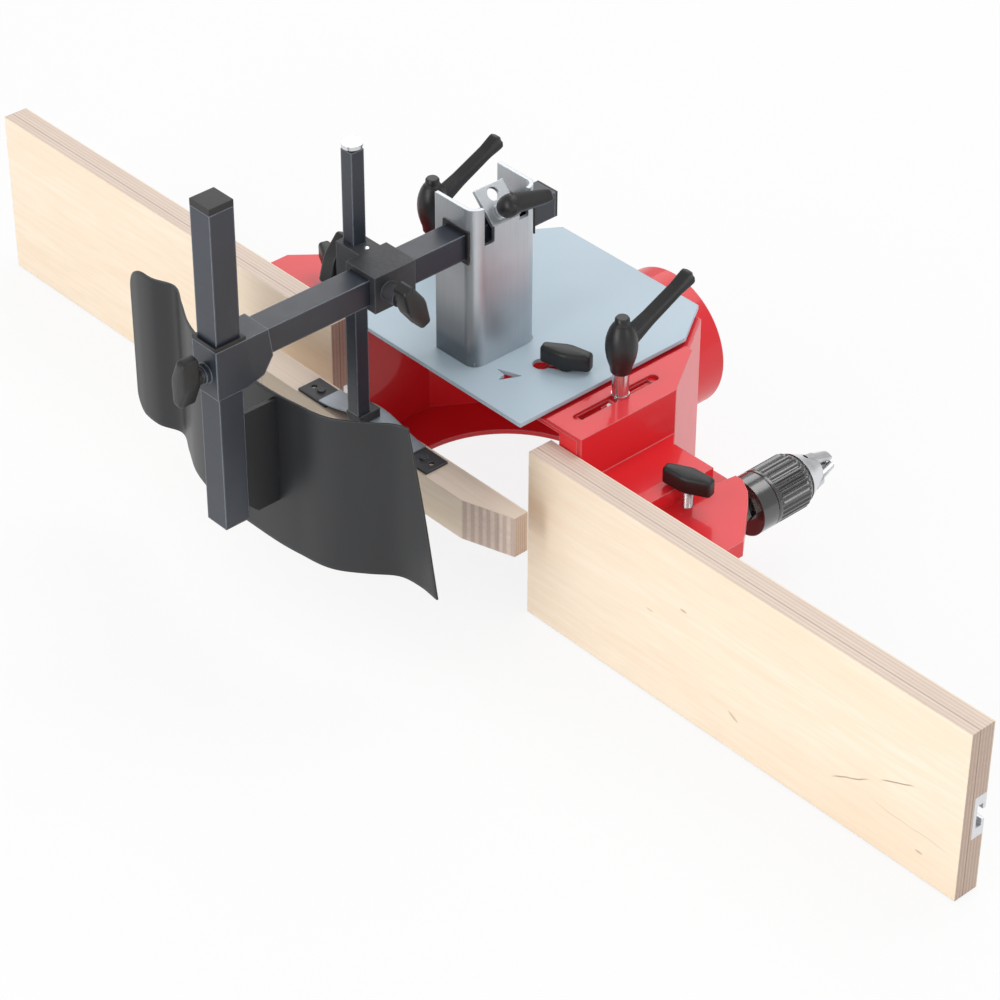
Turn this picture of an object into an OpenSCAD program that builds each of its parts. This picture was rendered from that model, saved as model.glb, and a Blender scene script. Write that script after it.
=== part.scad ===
// Fence, cutter hood and guard unit of a combination woodworker's spindle moulder.
// X runs along the fence, Y to the rear, Z up. The table is z = 0 and the fence face is y = 0.
// Two plywood boards stand on folded carriers that slide on a sheet steel hood. A bracket on
// the hood's cover holds a square bar with a sprung pressure shoe and a bowed guard.

/* [Fence boards] */
// Length of each board
board_len = 405; // [320:5:500]
// Height of the boards' top edge above the table
board_h = 140; // [125:1:145]
// Thickness of each board
board_t = 21; // [18:1:25]
// Half of the gap between the boards
gap_half = 106; // [90:1:115]
// Height of a board's lower edge above the table
board_lift = 0.5; // [0.5:0.5:2]

/* [Board rails] */
// Width of the aluminium rail in a board's rear face
rail_w = 35; // [30:1:40]
// Depth of the rail
rail_d = 11; // [10:0.5:14]
// Height of the rail's centre line above the table
rail_z = 64.5; // [60:0.5:70]
// Width of the rail's mouth
rail_mouth = 9; // [9:0.5:10]
// Wall behind and beside the rail's channel
rail_wall = 3; // [2:0.5:4]
// Radius of a rail bolt
rail_bolt_r = 4; // [3:0.5:4]
// Distance between the two rail bolts of a board
rail_bolt_gap = 50; // [40:1:60]

/* [Hood] */
// Half of the hood's width
hood_half = 131; // [126:1:140]
// Height of the hood's top above the table
hood_h = 151.5; // [148:0.5:160]
// Depth of the hood's straight sides
hood_side = 92; // [88:1:100]
// Depth of the hood's slanting rear corners
hood_slant = 79; // [70:1:90]
// Half of the width of the hood's rear wall
hood_rear_half = 80; // [70:1:90]
// Thickness of the sheet steel
sheet = 3; // [2:0.5:4]
// Width of the lips beside the hood's open front
hood_lip = 18; // [10:1:22]
// Half of the width of the opening in the hood's top
top_open_half = 48; // [45:1:50]
// How far the low skirt stands out on each side
skirt_out = 30; // [26:1:32]
// Height of the skirt above the table
skirt_h = 70; // [60:1:80]
// Depth of the skirt
skirt_depth = 128; // [115:1:135]
// Gap between the boards' rear faces and the hood
fence_gap = 1; // [1:0.5:3]

/* [Base plate] */
// Thickness of the base plate
base_t = 4; // [3:0.5:6]
// Radius of the round cut-out for the cutter
cutter_r = 89; // [80:1:92]
// Distance from the hood's front to the cutter's axis
cutter_back = 55; // [50:1:60]
// Distance from a board's end to the corner of the cut-out's mouth
mouth_in = 4; // [3:1:8]
// Distance from the skirt's side to a hold-down hole
hold_in = 16; // [14:1:18]
// Distance between the hold-down holes from front to rear
hold_y = 80; // [60:1:90]
// Radius of a hold-down hole
hold_r = 4; // [3:0.5:5]

/* [Dust port] */
// Outer radius of the dust port
port_r = 55.5; // [50:0.5:60]
// Wall of the dust port
port_wall = 2; // [1.5:0.5:3]
// Length of the dust port
port_len = 52; // [40:1:70]
// Height of the dust port's axis above the table
port_z = 75; // [72:1:80]

/* [Cover plate] */
// Distance from the hood's side to the cover's side edge
cover_in = 35; // [35:1:39]
// Length of the cover plate
cover_len = 197; // [190:1:200]
// Thickness of the cover plate
cover_t = 3; // [2:0.5:4]
// How far the cover plate reaches forward of the hood
cover_over = 21; // [15:1:21]
// Height of the strips that carry the cover plate
strip_t = 3; // [3:0.5:5]
// Length of the keyhole between its round hole and its stud
keyhole_run = 18; // [15:0.5:20]
// Direction of the keyhole from the fence's direction
keyhole_turn = 34; // [0:1:40]
// Distance from the cover's side edge to the stud
key_in = 29.5; // [29:0.5:32]
// Distance from the cover's front edge to the keyhole's stud
key_back = 71; // [68:1:74]

/* [Bar bracket] */
// Sideways place of the bar
bar_x = 8; // [4:1:10]
// Height of the bar's axis above the table
bar_z = 256; // [250:1:262]
// Width of the square bar
bar_w = 20; // [18:1:22]
// Wall of the square tubes
tube_wall = 2; // [1.5:0.5:3]
// Distance between the bracket's flanges, outside
bracket_len = 61; // [56:1:66]
// Width of the bracket's flanges
bracket_w = 40; // [38:1:44]
// How far the flanges stand above the bar's axis
flange_rise = 30; // [26:1:32]
// Outer radius of the bracket's bends
bend_r = 10; // [8:1:11]
// Distance from the cover's front edge to the bracket
bracket_back = 20; // [16:1:24]
// Wall of the plastic bushes round the bar
bush_wall = 2; // [1.5:0.5:3]
// Running clearance of the bar in its bushes
bar_play = 0.2; // [0.15:0.05:0.4]

/* [Guard arm] */
// Distance from the fence face to the guard post's axis
post_front = 186.5; // [176:1:196]
// How far the bar reaches behind the bracket
bar_tail = 25; // [24:1:40]
// Length of the guard post with its cap
post_len = 253; // [240:1:260]
// Height of the guard post's lower end above the table
post_low = 122; // [118:1:126]
// Wall of the sleeve round the post
sleeve_wall = 2.2; // [2:0.2:3]
// Height of the sleeve
sleeve_h = 38; // [36:1:46]
// Height of the guard sheet
guard_h = 126; // [110:1:130]
// Height of the guard sheet's lower edge above the table
guard_low = 84; // [80:1:95]
// Thickness of the guard sheet
guard_t = 1.5; // [1:0.5:3]

/* [Pressure shoe] */
// Sideways place of the shoe's rod
rod_x = -22; // [-24:1:-21]
// Distance from the fence face to the rod's axis
rod_front = 45; // [43:1:48]
// Width of the square rod
rod_w = 11; // [8:0.5:14]
// Length of the rod
rod_len = 214; // [200:1:220]
// Length of the pressure shoe
shoe_len = 299; // [260:1:320]
// Height of the pressure shoe
shoe_h = 33; // [28:1:38]
// Thickness of the pressure shoe
shoe_t = 25; // [21:1:28]
// Height of the shoe's top above the table
shoe_top = 110; // [105:1:112]
// Gap between the shoe and the fence face
shoe_gap = 20; // [18:1:22]
// Rise of the leaf spring above the shoe
leaf_rise = 12; // [10:1:14]
// Width of the leaf spring
leaf_w = 20; // [14:1:22]
// Thickness of the leaf spring
leaf_t = 1.2; // [1:0.1:1.6]

/* [Carriers] */
// Width of the carrier's top flange
flange_w = 34.5; // [32:0.5:36]
// Width of the shelf beside the hood
shelf_w = 48; // [46:1:50]
// Height of the shelf above the table
shelf_z = 117; // [112:1:122]
// Height of the seat's top above the table
seat_z = 105; // [100:1:108]
// Thickness of the seat
seat_t = 13; // [10:1:16]
// Distance from the step to the seat's outer edge
seat_w = 62.5; // [57.5:0.5:72.5]
// Distance from the hood's side to the clamp levers
lever_in = 18; // [17:0.5:18]
// Distance from the hood's front to the right lever
right_lever_back = 58; // [54:1:62]
// Distance from the hood's front to the left lever
left_lever_back = 83; // [78:1:83]
// Radius of the lever's stud
stud_r = 4; // [3:0.5:4]

/* [Drill chuck] */
// Distance from the carrier's step to the chuck's axis
chuck_out = 5.5; // [3.5:0.5:9.5]
// Height of the chuck's axis above the table
chuck_z = 72; // [68:1:72]
// Radius of the chuck
chuck_r = 21.7; // [21:0.1:24]
// Length of the chuck's plain collar
collar_len = 14.6; // [12:0.1:18]
// Length of the chuck's ribbed sleeve
grip_len = 38.5; // [34:0.5:44]
// Radius of the arbor
arbor_r = 6; // [5:0.5:7]
// Number of ribs on the sleeve
rib_count = 30; // [18:1:36]

/* [Hidden] */
$fn = 48;

// Clearances: slide is between sheet parts that move, run is a shaft in its hole
slide = 0.3;
run = 0.05;
eps = 1;

// Hood
hood_front = board_t + fence_gap;
hood_rear = hood_front + hood_side + hood_slant;
skirt_half = hood_half + skirt_out;
lever_x = hood_half - lever_in;
window_half = hood_half - hood_lip;
slant = atan((hood_half - hood_rear_half) / hood_slant);
cutter_y = hood_front + cutter_back;
mouth_half = gap_half - mouth_in;
top_open_len = 128;
cover_half = hood_half - cover_in;
strip_x = cover_half - 15;
strip_w = 18;
strip_len = 126;

// Cover and bracket
cover_z = hood_h + strip_t;
cover_top = cover_z + cover_t;
cover_front = hood_front - cover_over;
cover_rear = cover_front + cover_len;
key_x = cover_half - key_in;
key_y = cover_front + key_back;
stud_up = 13;
bracket_front = cover_front + bracket_back;
bracket_rear = bracket_front + bracket_len;
bracket_right = bar_x + 18;
bracket_left = bracket_right - bracket_w;
bracket_top = bar_z + flange_rise;
foot_screw_x = bracket_left + 18;
foot_screw_ys = [bracket_front + 17, bracket_rear - 17];
foot_screw_r = 3;

// The clamp plate is bent over the bar and carries the clamp screw
clamp_y = bracket_front + 31;
clamp_c = [bar_x + 7.2, clamp_y, bar_z + bar_w / 2 + 11.7];
clamp_len = 27.4;
clamp_w = 26;
clamp_bush_r = 5;
clamp_screw_r = 3.5;
clamp_off = 6.5;
clamp_rest_turn = 11;
clamp_collar = 4;

// Arm, post and guard
bar_half = bar_w / 2;
bar_rear = bracket_rear + bar_tail;
post_play = 0.3;
sleeve_half = bar_half + post_play + sleeve_wall;
sleeve_top = bar_z + bar_half + 2;
sleeve_back = -post_front + sleeve_half;
post_top = post_low + post_len;
cap_t = 5;
knob_screw_r = 4;
post_knob_z = bar_z - 9;
fin_top = guard_low + guard_h - 4;
guard_points = [
    [-185, -118], [-170, -121.5], [-155, -122], [-136, -116], [-115, -126], [-94, -137],
    [-64, -145], [-14, -147.6], [31, -145], [64, -137], [81, -124], [96, -111],
    [114, -107.5], [134, -109]
];
guard_base = 186.5;
guard_shift = guard_base - post_front;
guard_right_top = 105;
fin_front = -post_front + bar_half;
fin_t = 3;
fin_reach = 39.55;

// Cross clamp, rod and shoe
clamp_play = 0.25;
cross_wall = 4;
cross_y0 = -rod_front - 21;
cross_y1 = -rod_front + 15;
rod_left = rod_x - rod_w / 2;
cross_left = rod_left - 3;
cross_right = bar_x + bar_half + clamp_play + 5.5;
bar_knob_y = cross_y0 + 12;
rod_knob_z = bar_z - 10;
bar_boss = 12;
set_screw_x = (rod_left + rod_w + bar_x - bar_half) / 2;
foot_top = shoe_top + leaf_rise + 7;
rod_top = foot_top + rod_len;
shoe_back = -shoe_gap;
shoe_front = -shoe_gap - shoe_t;
shoe_mid = (shoe_front + shoe_back) / 2 - 1;
shoe_taper = 41;
shoe_nib = 12;
leaf_half = 47;
plate_in = 40;
plate_len = 30;
plate_t = 2;

// Carriers
flange_z = hood_h + 0.2;
flange_top = flange_z + 2.5;
web_in = hood_half + 0.5;
web_out = web_in + sheet;
carrier_front = hood_front + 0.5;
web_rear = hood_front + hood_side;
step_x = web_out + shelf_w;
shelf_rear = carrier_front + 82;
flange_len = 135;
seat_half = step_x + seat_w;
seat_side = 49;
seat_corner = [30, 32];
seat_tip = [19, 43];
seat_nose = 7;
slot_front = hood_front + 14;
slot_rear = hood_front + 94;
left_slot_back = 14;
seat_in = web_out + 15.5;
seat_knob = [step_x + 7.5, carrier_front + 49.5];
lever_base = flange_top + 20;
lever_bore = 28;
lever_h = 45;
lever_foot = 5;
lever_swell = 12;
lever_r = 11.5;

// Rail bolts sit in the rails and pass through the board brackets
bolt_mid_x = (skirt_half + 4 + seat_half) / 2;
plate_drop = 22;
rail_front = board_t - rail_d;
rail_lip = 2.5;
head_t = board_t - rail_lip - rail_front - rail_wall - 2 * slide;
bracket_plate = 4;
bracket_y = board_t + slide + 0.2;

// Chuck
chuck_x = step_x + chuck_out;
seat_len = 99.1;
housing_rear = carrier_front + seat_len;
housing_half = 12;
housing_h = 30;
housing_len = 26.6;
chuck_near = housing_rear + 9.4;
grip_front = chuck_near + collar_len;
nose_front = grip_front + grip_len;
core_r = chuck_r - 3.4;
nose_len = 18;
jaw_reach = 15;
jaw_tip = nose_front + nose_len + jaw_reach;
jaw_r = 4.8;
jaw_len = 24;
jaw_tilt = 11;
jaw_mid = 5.75;
jaw_play = 0.15;

// The hood's plan, drawn in by a distance all round
function hood_plan(inset) =
    let (
        half = hood_half - inset,
        rear = hood_rear - inset,
        side_y = hood_front + hood_side - inset * tan(slant / 2),
        rear_x = hood_rear_half - inset * tan((90 - slant) / 2),
        front = hood_front + (inset > 0 ? inset : 0)
    )
    [[-half, front], [half, front], [half, side_y], [rear_x, rear], [-rear_x, rear], [-half, side_y]];

// A point on a smooth curve through four points, t from 0 to 1 between the middle two
function curve_at(a, b, c, d, t) =
    0.5 * (2 * b + (c - a) * t + (2 * a - 5 * b + 4 * c - d) * t * t
    + (3 * b - a - 3 * c + d) * t * t * t);

function clamped(i, n) = max(0, min(n - 1, i));

function smooth_path(p, steps) =
    let (n = len(p))
    concat(
        [for (i = [0 : n - 2]) for (k = [0 : steps - 1])
            curve_at(p[clamped(i - 1, n)], p[i], p[i + 1], p[clamped(i + 2, n)], k / steps)],
        [p[n - 1]]
    );

// The path moved sideways by a distance, square to its own direction
function beside(path, gap) =
    let (n = len(path))
    [for (i = [0 : n - 1])
        let (
            d = path[clamped(i + 1, n)] - path[clamped(i - 1, n)],
            u = d / norm(d)
        )
        path[i] + gap * [-u[1], u[0]]];

function reversed(list) = [for (i = [len(list) - 1 : -1 : 0]) list[i]];

// Everything on the left is the right side's mirror image
module on_side(s) {
    if (s > 0) children();
    else mirror([1, 0, 0]) children();
}

// A box from its lowest to its highest corner
module block(low, high) {
    translate(low) cube(high - low);
}

// A cylinder along Y from one place to another
module rod_y(x, z, y0, y1, r) {
    translate([x, y0, z]) rotate([-90, 0, 0]) cylinder(r = r, h = y1 - y0);
}

// A cylinder along X from one place to another
module rod_x_way(x0, x1, y, z, r) {
    translate([x0, y, z]) rotate([0, 90, 0]) cylinder(r = r, h = x1 - x0);
}

module hexagon(r, h) {
    cylinder(r = r, h = h, $fn = 6);
}

// A long, thick plastic wing on a round hub, with its foot at z = 0 and a blind bore from below
module wing_knob(bore_r, bore_depth, hub_r = 6, hub_h = 4) {
    half = 19;
    end = 4.8;
    mid = 8;
    wing_h = 13;
    difference() {
        union() {
            cylinder(r = hub_r, h = hub_h + 1);
            translate([0, 0, hub_h]) linear_extrude(wing_h) polygon([
                [-half, -end], [-end, -mid], [end, -mid], [half, -end],
                [half, end], [end, mid], [-end, mid], [-half, end]
            ]);
        }
        translate([0, 0, -eps]) cylinder(r = bore_r, h = bore_depth + eps);
    }
}

// Base plate with its open-fronted cutter hole and four hold-down holes
module base_plate() {
    color("crimson")
    difference() {
        linear_extrude(base_t) union() {
            polygon(hood_plan(0));
            translate([-skirt_half, hood_front]) square([2 * skirt_half, skirt_depth]);
        }
        translate([0, cutter_y, -eps]) cylinder(r = cutter_r, h = base_t + 2 * eps, $fn = 96);
        translate([0, 0, -eps]) linear_extrude(base_t + 2 * eps) polygon([
            [-cutter_r, cutter_y], [cutter_r, cutter_y],
            [mouth_half, hood_front - eps], [-mouth_half, hood_front - eps]
        ]);
        for (sx = [-1, 1]) for (sy = [-1, 1])
            translate([sx * (skirt_half - hold_in), hood_front + 63 + sy * hold_y / 2, -eps])
                cylinder(r = hold_r, h = base_t + 2 * eps);
    }
}

// The hollow side skirts in plan, without the hood between them
module skirt_hollow() {
    difference() {
        translate([hood_rear_half, hood_front + sheet])
            square([skirt_half - sheet - hood_rear_half, skirt_depth - 2 * sheet]);
        polygon(hood_plan(0));
    }
}

// Openings in the hood's top on both sides of a lever's stud, below the carrier's slot
module top_slots(s, y, back) {
    land = 7;
    end = 6;
    for (span = [[slot_front + back + end, y - land], [y + land, slot_rear + back - end]])
        block([s * lever_x - stud_r, span[0], hood_h - sheet - eps],
              [s * lever_x + stud_r, span[1], hood_h + eps]);
}

// Welded hood of sheet steel, open at the front and below, with a low skirt on each side
module hood_shell() {
    color("crimson")
    difference() {
        union() {
            translate([0, 0, base_t]) linear_extrude(hood_h - base_t) polygon(hood_plan(0));
            block([-skirt_half, hood_front, base_t], [skirt_half, hood_front + skirt_depth, skirt_h]);
            for (s = [-1, 1])
                translate([s * strip_x - strip_w / 2, hood_front + 2, hood_h])
                    cube([strip_w, strip_len, strip_t]);
        }
        translate([0, 0, base_t - eps])
            linear_extrude(hood_h - sheet - base_t + eps) polygon(hood_plan(sheet));
        for (s = [-1, 1]) on_side(s)
            translate([0, 0, base_t - eps])
                linear_extrude(skirt_h - sheet - base_t + eps) skirt_hollow();
        block([-window_half, hood_front - eps, base_t - eps],
              [window_half, hood_front + sheet + eps, hood_h - sheet]);
        block([-top_open_half, hood_front - eps, hood_h - sheet - eps],
              [top_open_half, hood_front + top_open_len, hood_h + eps]);
        rod_y(0, port_z, hood_rear - sheet - eps, hood_rear + eps, port_r - port_wall);
        translate([lever_x, hood_front + right_lever_back, hood_h - sheet - eps])
            cylinder(r = stud_r, h = sheet + 2 * eps);
        translate([-lever_x, hood_front + left_lever_back, hood_h - sheet - eps])
            cylinder(r = stud_r, h = sheet + 2 * eps);
        top_slots(1, hood_front + right_lever_back, 0);
        top_slots(-1, hood_front + left_lever_back, left_slot_back);
    }
}

// Round spigot for the dust hose, welded to the hood's rear wall
module dust_port() {
    color("crimson")
    difference() {
        rod_y(0, port_z, hood_rear, hood_rear + port_len, port_r, $fn = 96);
        rod_y(0, port_z, hood_rear - eps, hood_rear + port_len + eps, port_r - port_wall, $fn = 96);
    }
}

// One square-headed stud from below the hood's top, with the washer on the carrier
module lever_stud(x, y) {
    translate([x, y, 0]) {
        translate([-6.5, -6.5, hood_h - sheet - 4]) cube([13, 13, 4]);
        translate([0, 0, hood_h - sheet - 0.5])
            cylinder(r = stud_r, h = lever_base + lever_bore - 2 - hood_h + sheet);
        translate([0, 0, flange_top + slide]) difference() {
            cylinder(r = stud_r + 2.5, h = 2);
            translate([0, 0, -eps]) cylinder(r = stud_r, h = 2 + 2 * eps);
        }
    }
}

// The two lever studs, and the stud welded on the hood's top under the cover knob
module hood_studs() {
    color("silver") {
        lever_stud(lever_x, hood_front + right_lever_back);
        lever_stud(-lever_x, hood_front + left_lever_back);
        translate([key_x, key_y, hood_h]) cylinder(r = 3, h = strip_t + cover_t + stud_up);
    }
}

// Keyhole in the cover plate: the slot ends at the stud, the round hole lies a run away
module keyhole() {
    translate([key_x, key_y, cover_z - eps]) rotate([0, 0, keyhole_turn]) {
        cylinder(r = 3.5, h = cover_t + 2 * eps);
        translate([-keyhole_run, -3.5, 0]) cube([keyhole_run, 7, cover_t + 2 * eps]);
        translate([-keyhole_run, 0, 0]) cylinder(r = 6.5, h = cover_t + 2 * eps);
    }
}

// Flat cover over the cutter, with an arrow-shaped sight hole
module cover_plate() {
    rear_in = 24;
    rear_cut = 37;
    arrow_y = cover_front + 25;
    color("lightsteelblue")
    difference() {
        translate([0, 0, cover_z]) linear_extrude(cover_t) polygon([
            [-cover_half, cover_front], [cover_half, cover_front],
            [cover_half, cover_rear - rear_cut], [cover_half - rear_in, cover_rear],
            [-cover_half + rear_in, cover_rear], [-cover_half, cover_rear - rear_cut]
        ]);
        keyhole();
        translate([0, 0, cover_z - eps]) linear_extrude(cover_t + 2 * eps) polygon([
            [53.4, arrow_y + 15.8], [35.2, arrow_y + 8.6], [43.5, arrow_y + 7.8], [45.8, arrow_y]
        ]);
        for (y = foot_screw_ys) translate([foot_screw_x, y, cover_z - eps])
            cylinder(r = foot_screw_r, h = cover_t + 2 * eps);
    }
}

// The bracket's U in plan, drawn in by a distance
module bracket_plan(inset) {
    r = bend_r - inset;
    left = inset > 0 ? bracket_left - eps : bracket_left;
    x1 = bracket_right - bend_r;
    y0 = bracket_front + inset;
    y1 = bracket_rear - inset;
    union() {
        translate([left, y0]) square([x1 - left, y1 - y0]);
        translate([left, y0 + r]) square([x1 + r - left, y1 - y0 - 2 * r]);
        for (y = [y0 + r, y1 - r]) translate([x1, y]) circle(r = r);
    }
}

// Steel bracket: two flanges with windows for the bar, a side wall and a plate bent over the bar
module bracket() {
    side_top = bar_z;
    window = bar_half + bar_play + bush_wall;
    color("gainsboro")
    difference() {
        union() {
            translate([0, 0, cover_top]) linear_extrude(bracket_top - cover_top) difference() {
                bracket_plan(0);
                bracket_plan(sheet);
            }
            block([bracket_left, bracket_front + sheet - 0.5, cover_top],
                  [bracket_right - sheet + 0.5, bracket_rear - sheet + 0.5, cover_top + sheet]);
        }
        block([bracket_right - bend_r, bracket_front + bend_r, side_top],
              [bracket_right + eps, clamp_y, bracket_top + eps]);
        block([bracket_right - bend_r, clamp_y - eps, side_top + 8],
              [bracket_right + eps, bracket_rear - bend_r, bracket_top + eps]);
        block([bar_x - window, bracket_front - eps, bar_z - window],
              [bar_x + window, bracket_rear + eps, bar_z + window]);
        for (y = foot_screw_ys) translate([foot_screw_x, y, cover_top - eps])
            cylinder(r = foot_screw_r, h = sheet + 2 * eps);
    }
    color("gainsboro") clamp_plate();
}

// Plate bent at 45 degrees over the bar, on a tab of the side wall, with two holes
module clamp_plate() {
    difference() {
        union() {
            translate(clamp_c) rotate([0, 45, 0])
                translate([-clamp_len / 2, -clamp_w / 2, -sheet / 2])
                    cube([clamp_len, clamp_w, sheet]);
            block([bracket_right - sheet, clamp_y - clamp_w / 2 + 1.5, bar_z - 2],
                  [bracket_right, clamp_y + clamp_w / 2 - 1.5, clamp_c[2] - clamp_len * sqrt(0.5) / 2 + slide]);
        }
        for (k = [-1, 1])
            translate(clamp_c) rotate([0, 45, 0]) translate([k * clamp_off, 0, -sheet])
                cylinder(r = clamp_bush_r, h = 2 * sheet);
    }
}

// Two screws with their nuts, through the bracket's foot and the cover plate
module bracket_screws() {
    nut_h = 4;
    color("silver")
    for (y = foot_screw_ys) translate([foot_screw_x, y, 0]) {
        translate([0, 0, cover_top + sheet]) cylinder(r = 5.5, h = 3.3);
        translate([0, 0, cover_z - nut_h - 1]) cylinder(r = foot_screw_r, h = cover_t + sheet + nut_h + 1.5);
        translate([0, 0, cover_z - nut_h]) hexagon(5.8, nut_h);
    }
}

// One plastic bush in a flange's window, with its rim outside
module bar_bush(face_y, out) {
    inner = bar_half + bar_play;
    outer = inner + bush_wall;
    rim = outer + 1;
    difference() {
        union() {
            block([bar_x - outer, min(face_y, face_y - out * (sheet + 1)), bar_z - outer],
                  [bar_x + outer, max(face_y, face_y - out * (sheet + 1)), bar_z + outer]);
            block([bar_x - rim, min(face_y, face_y + out), bar_z - rim],
                  [bar_x + rim, max(face_y, face_y + out), bar_z + rim]);
        }
        block([bar_x - inner, face_y - 10, bar_z - inner], [bar_x + inner, face_y + 10, bar_z + inner]);
    }
}

module bar_bushes() {
    color([0.1, 0.1, 0.1]) {
        bar_bush(bracket_front, -1);
        bar_bush(bracket_rear, 1);
    }
}

// Flanged black bush in the clamp plate, round the clamp screw
module clamp_bush() {
    color([0.1, 0.1, 0.1])
    translate(clamp_c) rotate([0, 45, 0]) translate([clamp_off, 0, -sheet / 2]) difference() {
        cylinder(r = clamp_bush_r, h = sheet);
        translate([0, 0, -eps]) cylinder(r = clamp_screw_r + run, h = sheet + 2 * eps);
    }
}

// Notched pad between the clamp screw and the bar's edge
module clamp_pad() {
    grip = bar_half + bar_play;
    color([0.1, 0.1, 0.1])
    difference() {
        translate(clamp_c) rotate([0, 45, 0]) translate([clamp_off - 7, -11, -18])
            cube([12, 22, 18 - sheet / 2 - slide]);
        block([bar_x - 2 * grip, clamp_y - 20, bar_z - grip], [bar_x + grip, clamp_y + 20, bar_z + grip]);
    }
}

// Clamp screw with its silver collar, pressing on the pad
module clamp_screw() {
    color("silver")
    translate(clamp_c) rotate([0, 45, 0]) translate([clamp_off, 0, 0]) {
        translate([0, 0, -sheet / 2]) cylinder(r = clamp_screw_r, h = sheet + clamp_collar + 14);
        translate([0, 0, sheet / 2 + slide]) cylinder(r = 6, h = clamp_collar);
    }
}

// Lever on the clamp screw, lying along the bar
module clamp_lever() {
    hub_low = sheet / 2 + slide + clamp_collar;
    hub_h = 16;
    arm_low = hub_low + 4.8;
    arm_h = 9.2;
    reach = 26;
    color([0.12, 0.12, 0.13])
    translate(clamp_c) rotate([0, 45, 0]) translate([clamp_off, 0, 0]) rotate([0, 0, -clamp_rest_turn])
        difference() {
            union() {
                translate([0, 0, hub_low]) cylinder(r = 8, h = hub_h);
                translate([-5.5, 0, arm_low]) cube([11, reach, arm_h]);
                translate([0, reach, arm_low]) cylinder(r = 5.5, h = arm_h);
            }
            translate([0, 0, hub_low - eps]) cylinder(r = clamp_screw_r, h = 13.9 + eps);
        }
}

// Wing knob on the cover stud
module cover_knob() {
    color([0.1, 0.1, 0.1])
    translate([key_x, key_y, cover_top + slide]) rotate([0, 0, 25])
        wing_knob(3 + run, 13.5, 6.5, 2.5);
}

// Square bar with the welded sleeve and gusset for the guard post
module arm() {
    low = sleeve_top - sleeve_h;
    inner = bar_half + post_play;
    plug = bar_half - tube_wall;
    nib = 4;
    color([0.16, 0.17, 0.2])
    difference() {
        union() {
            block([bar_x - bar_half, sleeve_back - 1, bar_z - bar_half],
                  [bar_x + bar_half, bar_rear - 2, bar_z + bar_half]);
            block([bar_x - sleeve_half, -post_front - sleeve_half, low],
                  [bar_x + sleeve_half, sleeve_back, sleeve_top]);
            translate([bar_x - sleeve_half, 0, 0]) rotate([90, 0, 90])
                linear_extrude(2 * sleeve_half) polygon([
                    [sleeve_back - 1, sleeve_top], [sleeve_back + 19, sleeve_top],
                    [sleeve_back + 22, bar_z - bar_half], [sleeve_back + 14, bar_z - bar_half - 12],
                    [sleeve_back - 1, low]
                ]);
            rod_y(bar_x, post_knob_z, -post_front - sleeve_half - nib, -post_front - sleeve_half + 1, 7);
        }
        block([bar_x - inner, -post_front - inner, low - eps],
              [bar_x + inner, -post_front + inner, sleeve_top + eps]);
        block([bar_x - plug, sleeve_back + 22, bar_z - plug], [bar_x + plug, bar_rear, bar_z + plug]);
        rod_y(bar_x, post_knob_z, -post_front - sleeve_half - nib - eps, -post_front, knob_screw_r + run);
    }
}

// Plastic cap in the bar's rear end
module arm_end_cap() {
    plug = bar_half - tube_wall;
    color([0.08, 0.08, 0.08]) union() {
        block([bar_x - bar_half, bar_rear - 2, bar_z - bar_half],
              [bar_x + bar_half, bar_rear, bar_z + bar_half]);
        block([bar_x - plug, bar_rear - 12, bar_z - plug], [bar_x + plug, bar_rear - 1, bar_z + plug]);
    }
}

// Plastic rim on top of the sleeve
module sleeve_rim() {
    inner = bar_half + post_play;
    color([0.08, 0.08, 0.08]) difference() {
        block([bar_x - sleeve_half, -post_front - sleeve_half, sleeve_top],
              [bar_x + sleeve_half, -post_front + sleeve_half, sleeve_top + 3]);
        block([bar_x - inner, -post_front - inner, sleeve_top - eps],
              [bar_x + inner, -post_front + inner, sleeve_top + 4]);
    }
}

// Wing knob and its screw in the sleeve's front wall
module post_knob() {
    color([0.1, 0.1, 0.1])
    translate([bar_x, -post_front - sleeve_half - 6, post_knob_z]) rotate([90, 0, 0]) rotate([0, 0, 80])
        wing_knob(knob_screw_r, 12);
}

module post_knob_screw() {
    color("silver")
    rod_y(bar_x, post_knob_z, -post_front - sleeve_half - 16, -post_front - bar_half - slide, knob_screw_r);
}

// Square tube that carries the guard, open below
module guard_post() {
    inner = bar_half - tube_wall;
    color([0.16, 0.17, 0.2]) difference() {
        block([bar_x - bar_half, -post_front - bar_half, post_low],
              [bar_x + bar_half, -post_front + bar_half, post_top - cap_t]);
        block([bar_x - inner, -post_front - inner, post_low - eps],
              [bar_x + inner, -post_front + inner, post_top]);
    }
}

module post_cap() {
    inner = bar_half - tube_wall;
    color([0.08, 0.08, 0.08]) union() {
        block([bar_x - bar_half, -post_front - bar_half, post_top - cap_t],
              [bar_x + bar_half, -post_front + bar_half, post_top]);
        block([bar_x - inner, -post_front - inner, post_top - cap_t - 10],
              [bar_x + inner, -post_front + inner, post_top - cap_t + 1]);
    }
}

// The guard sheet's centre line, smooth through its chosen points
guard_path = smooth_path([for (p = guard_points) [p[0], p[1] + guard_shift]], 4);

module guard_strip() {
    translate([0, 0, guard_low]) linear_extrude(guard_h)
        polygon(concat(beside(guard_path, guard_t / 2), reversed(beside(guard_path, -guard_t / 2))));
}

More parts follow.
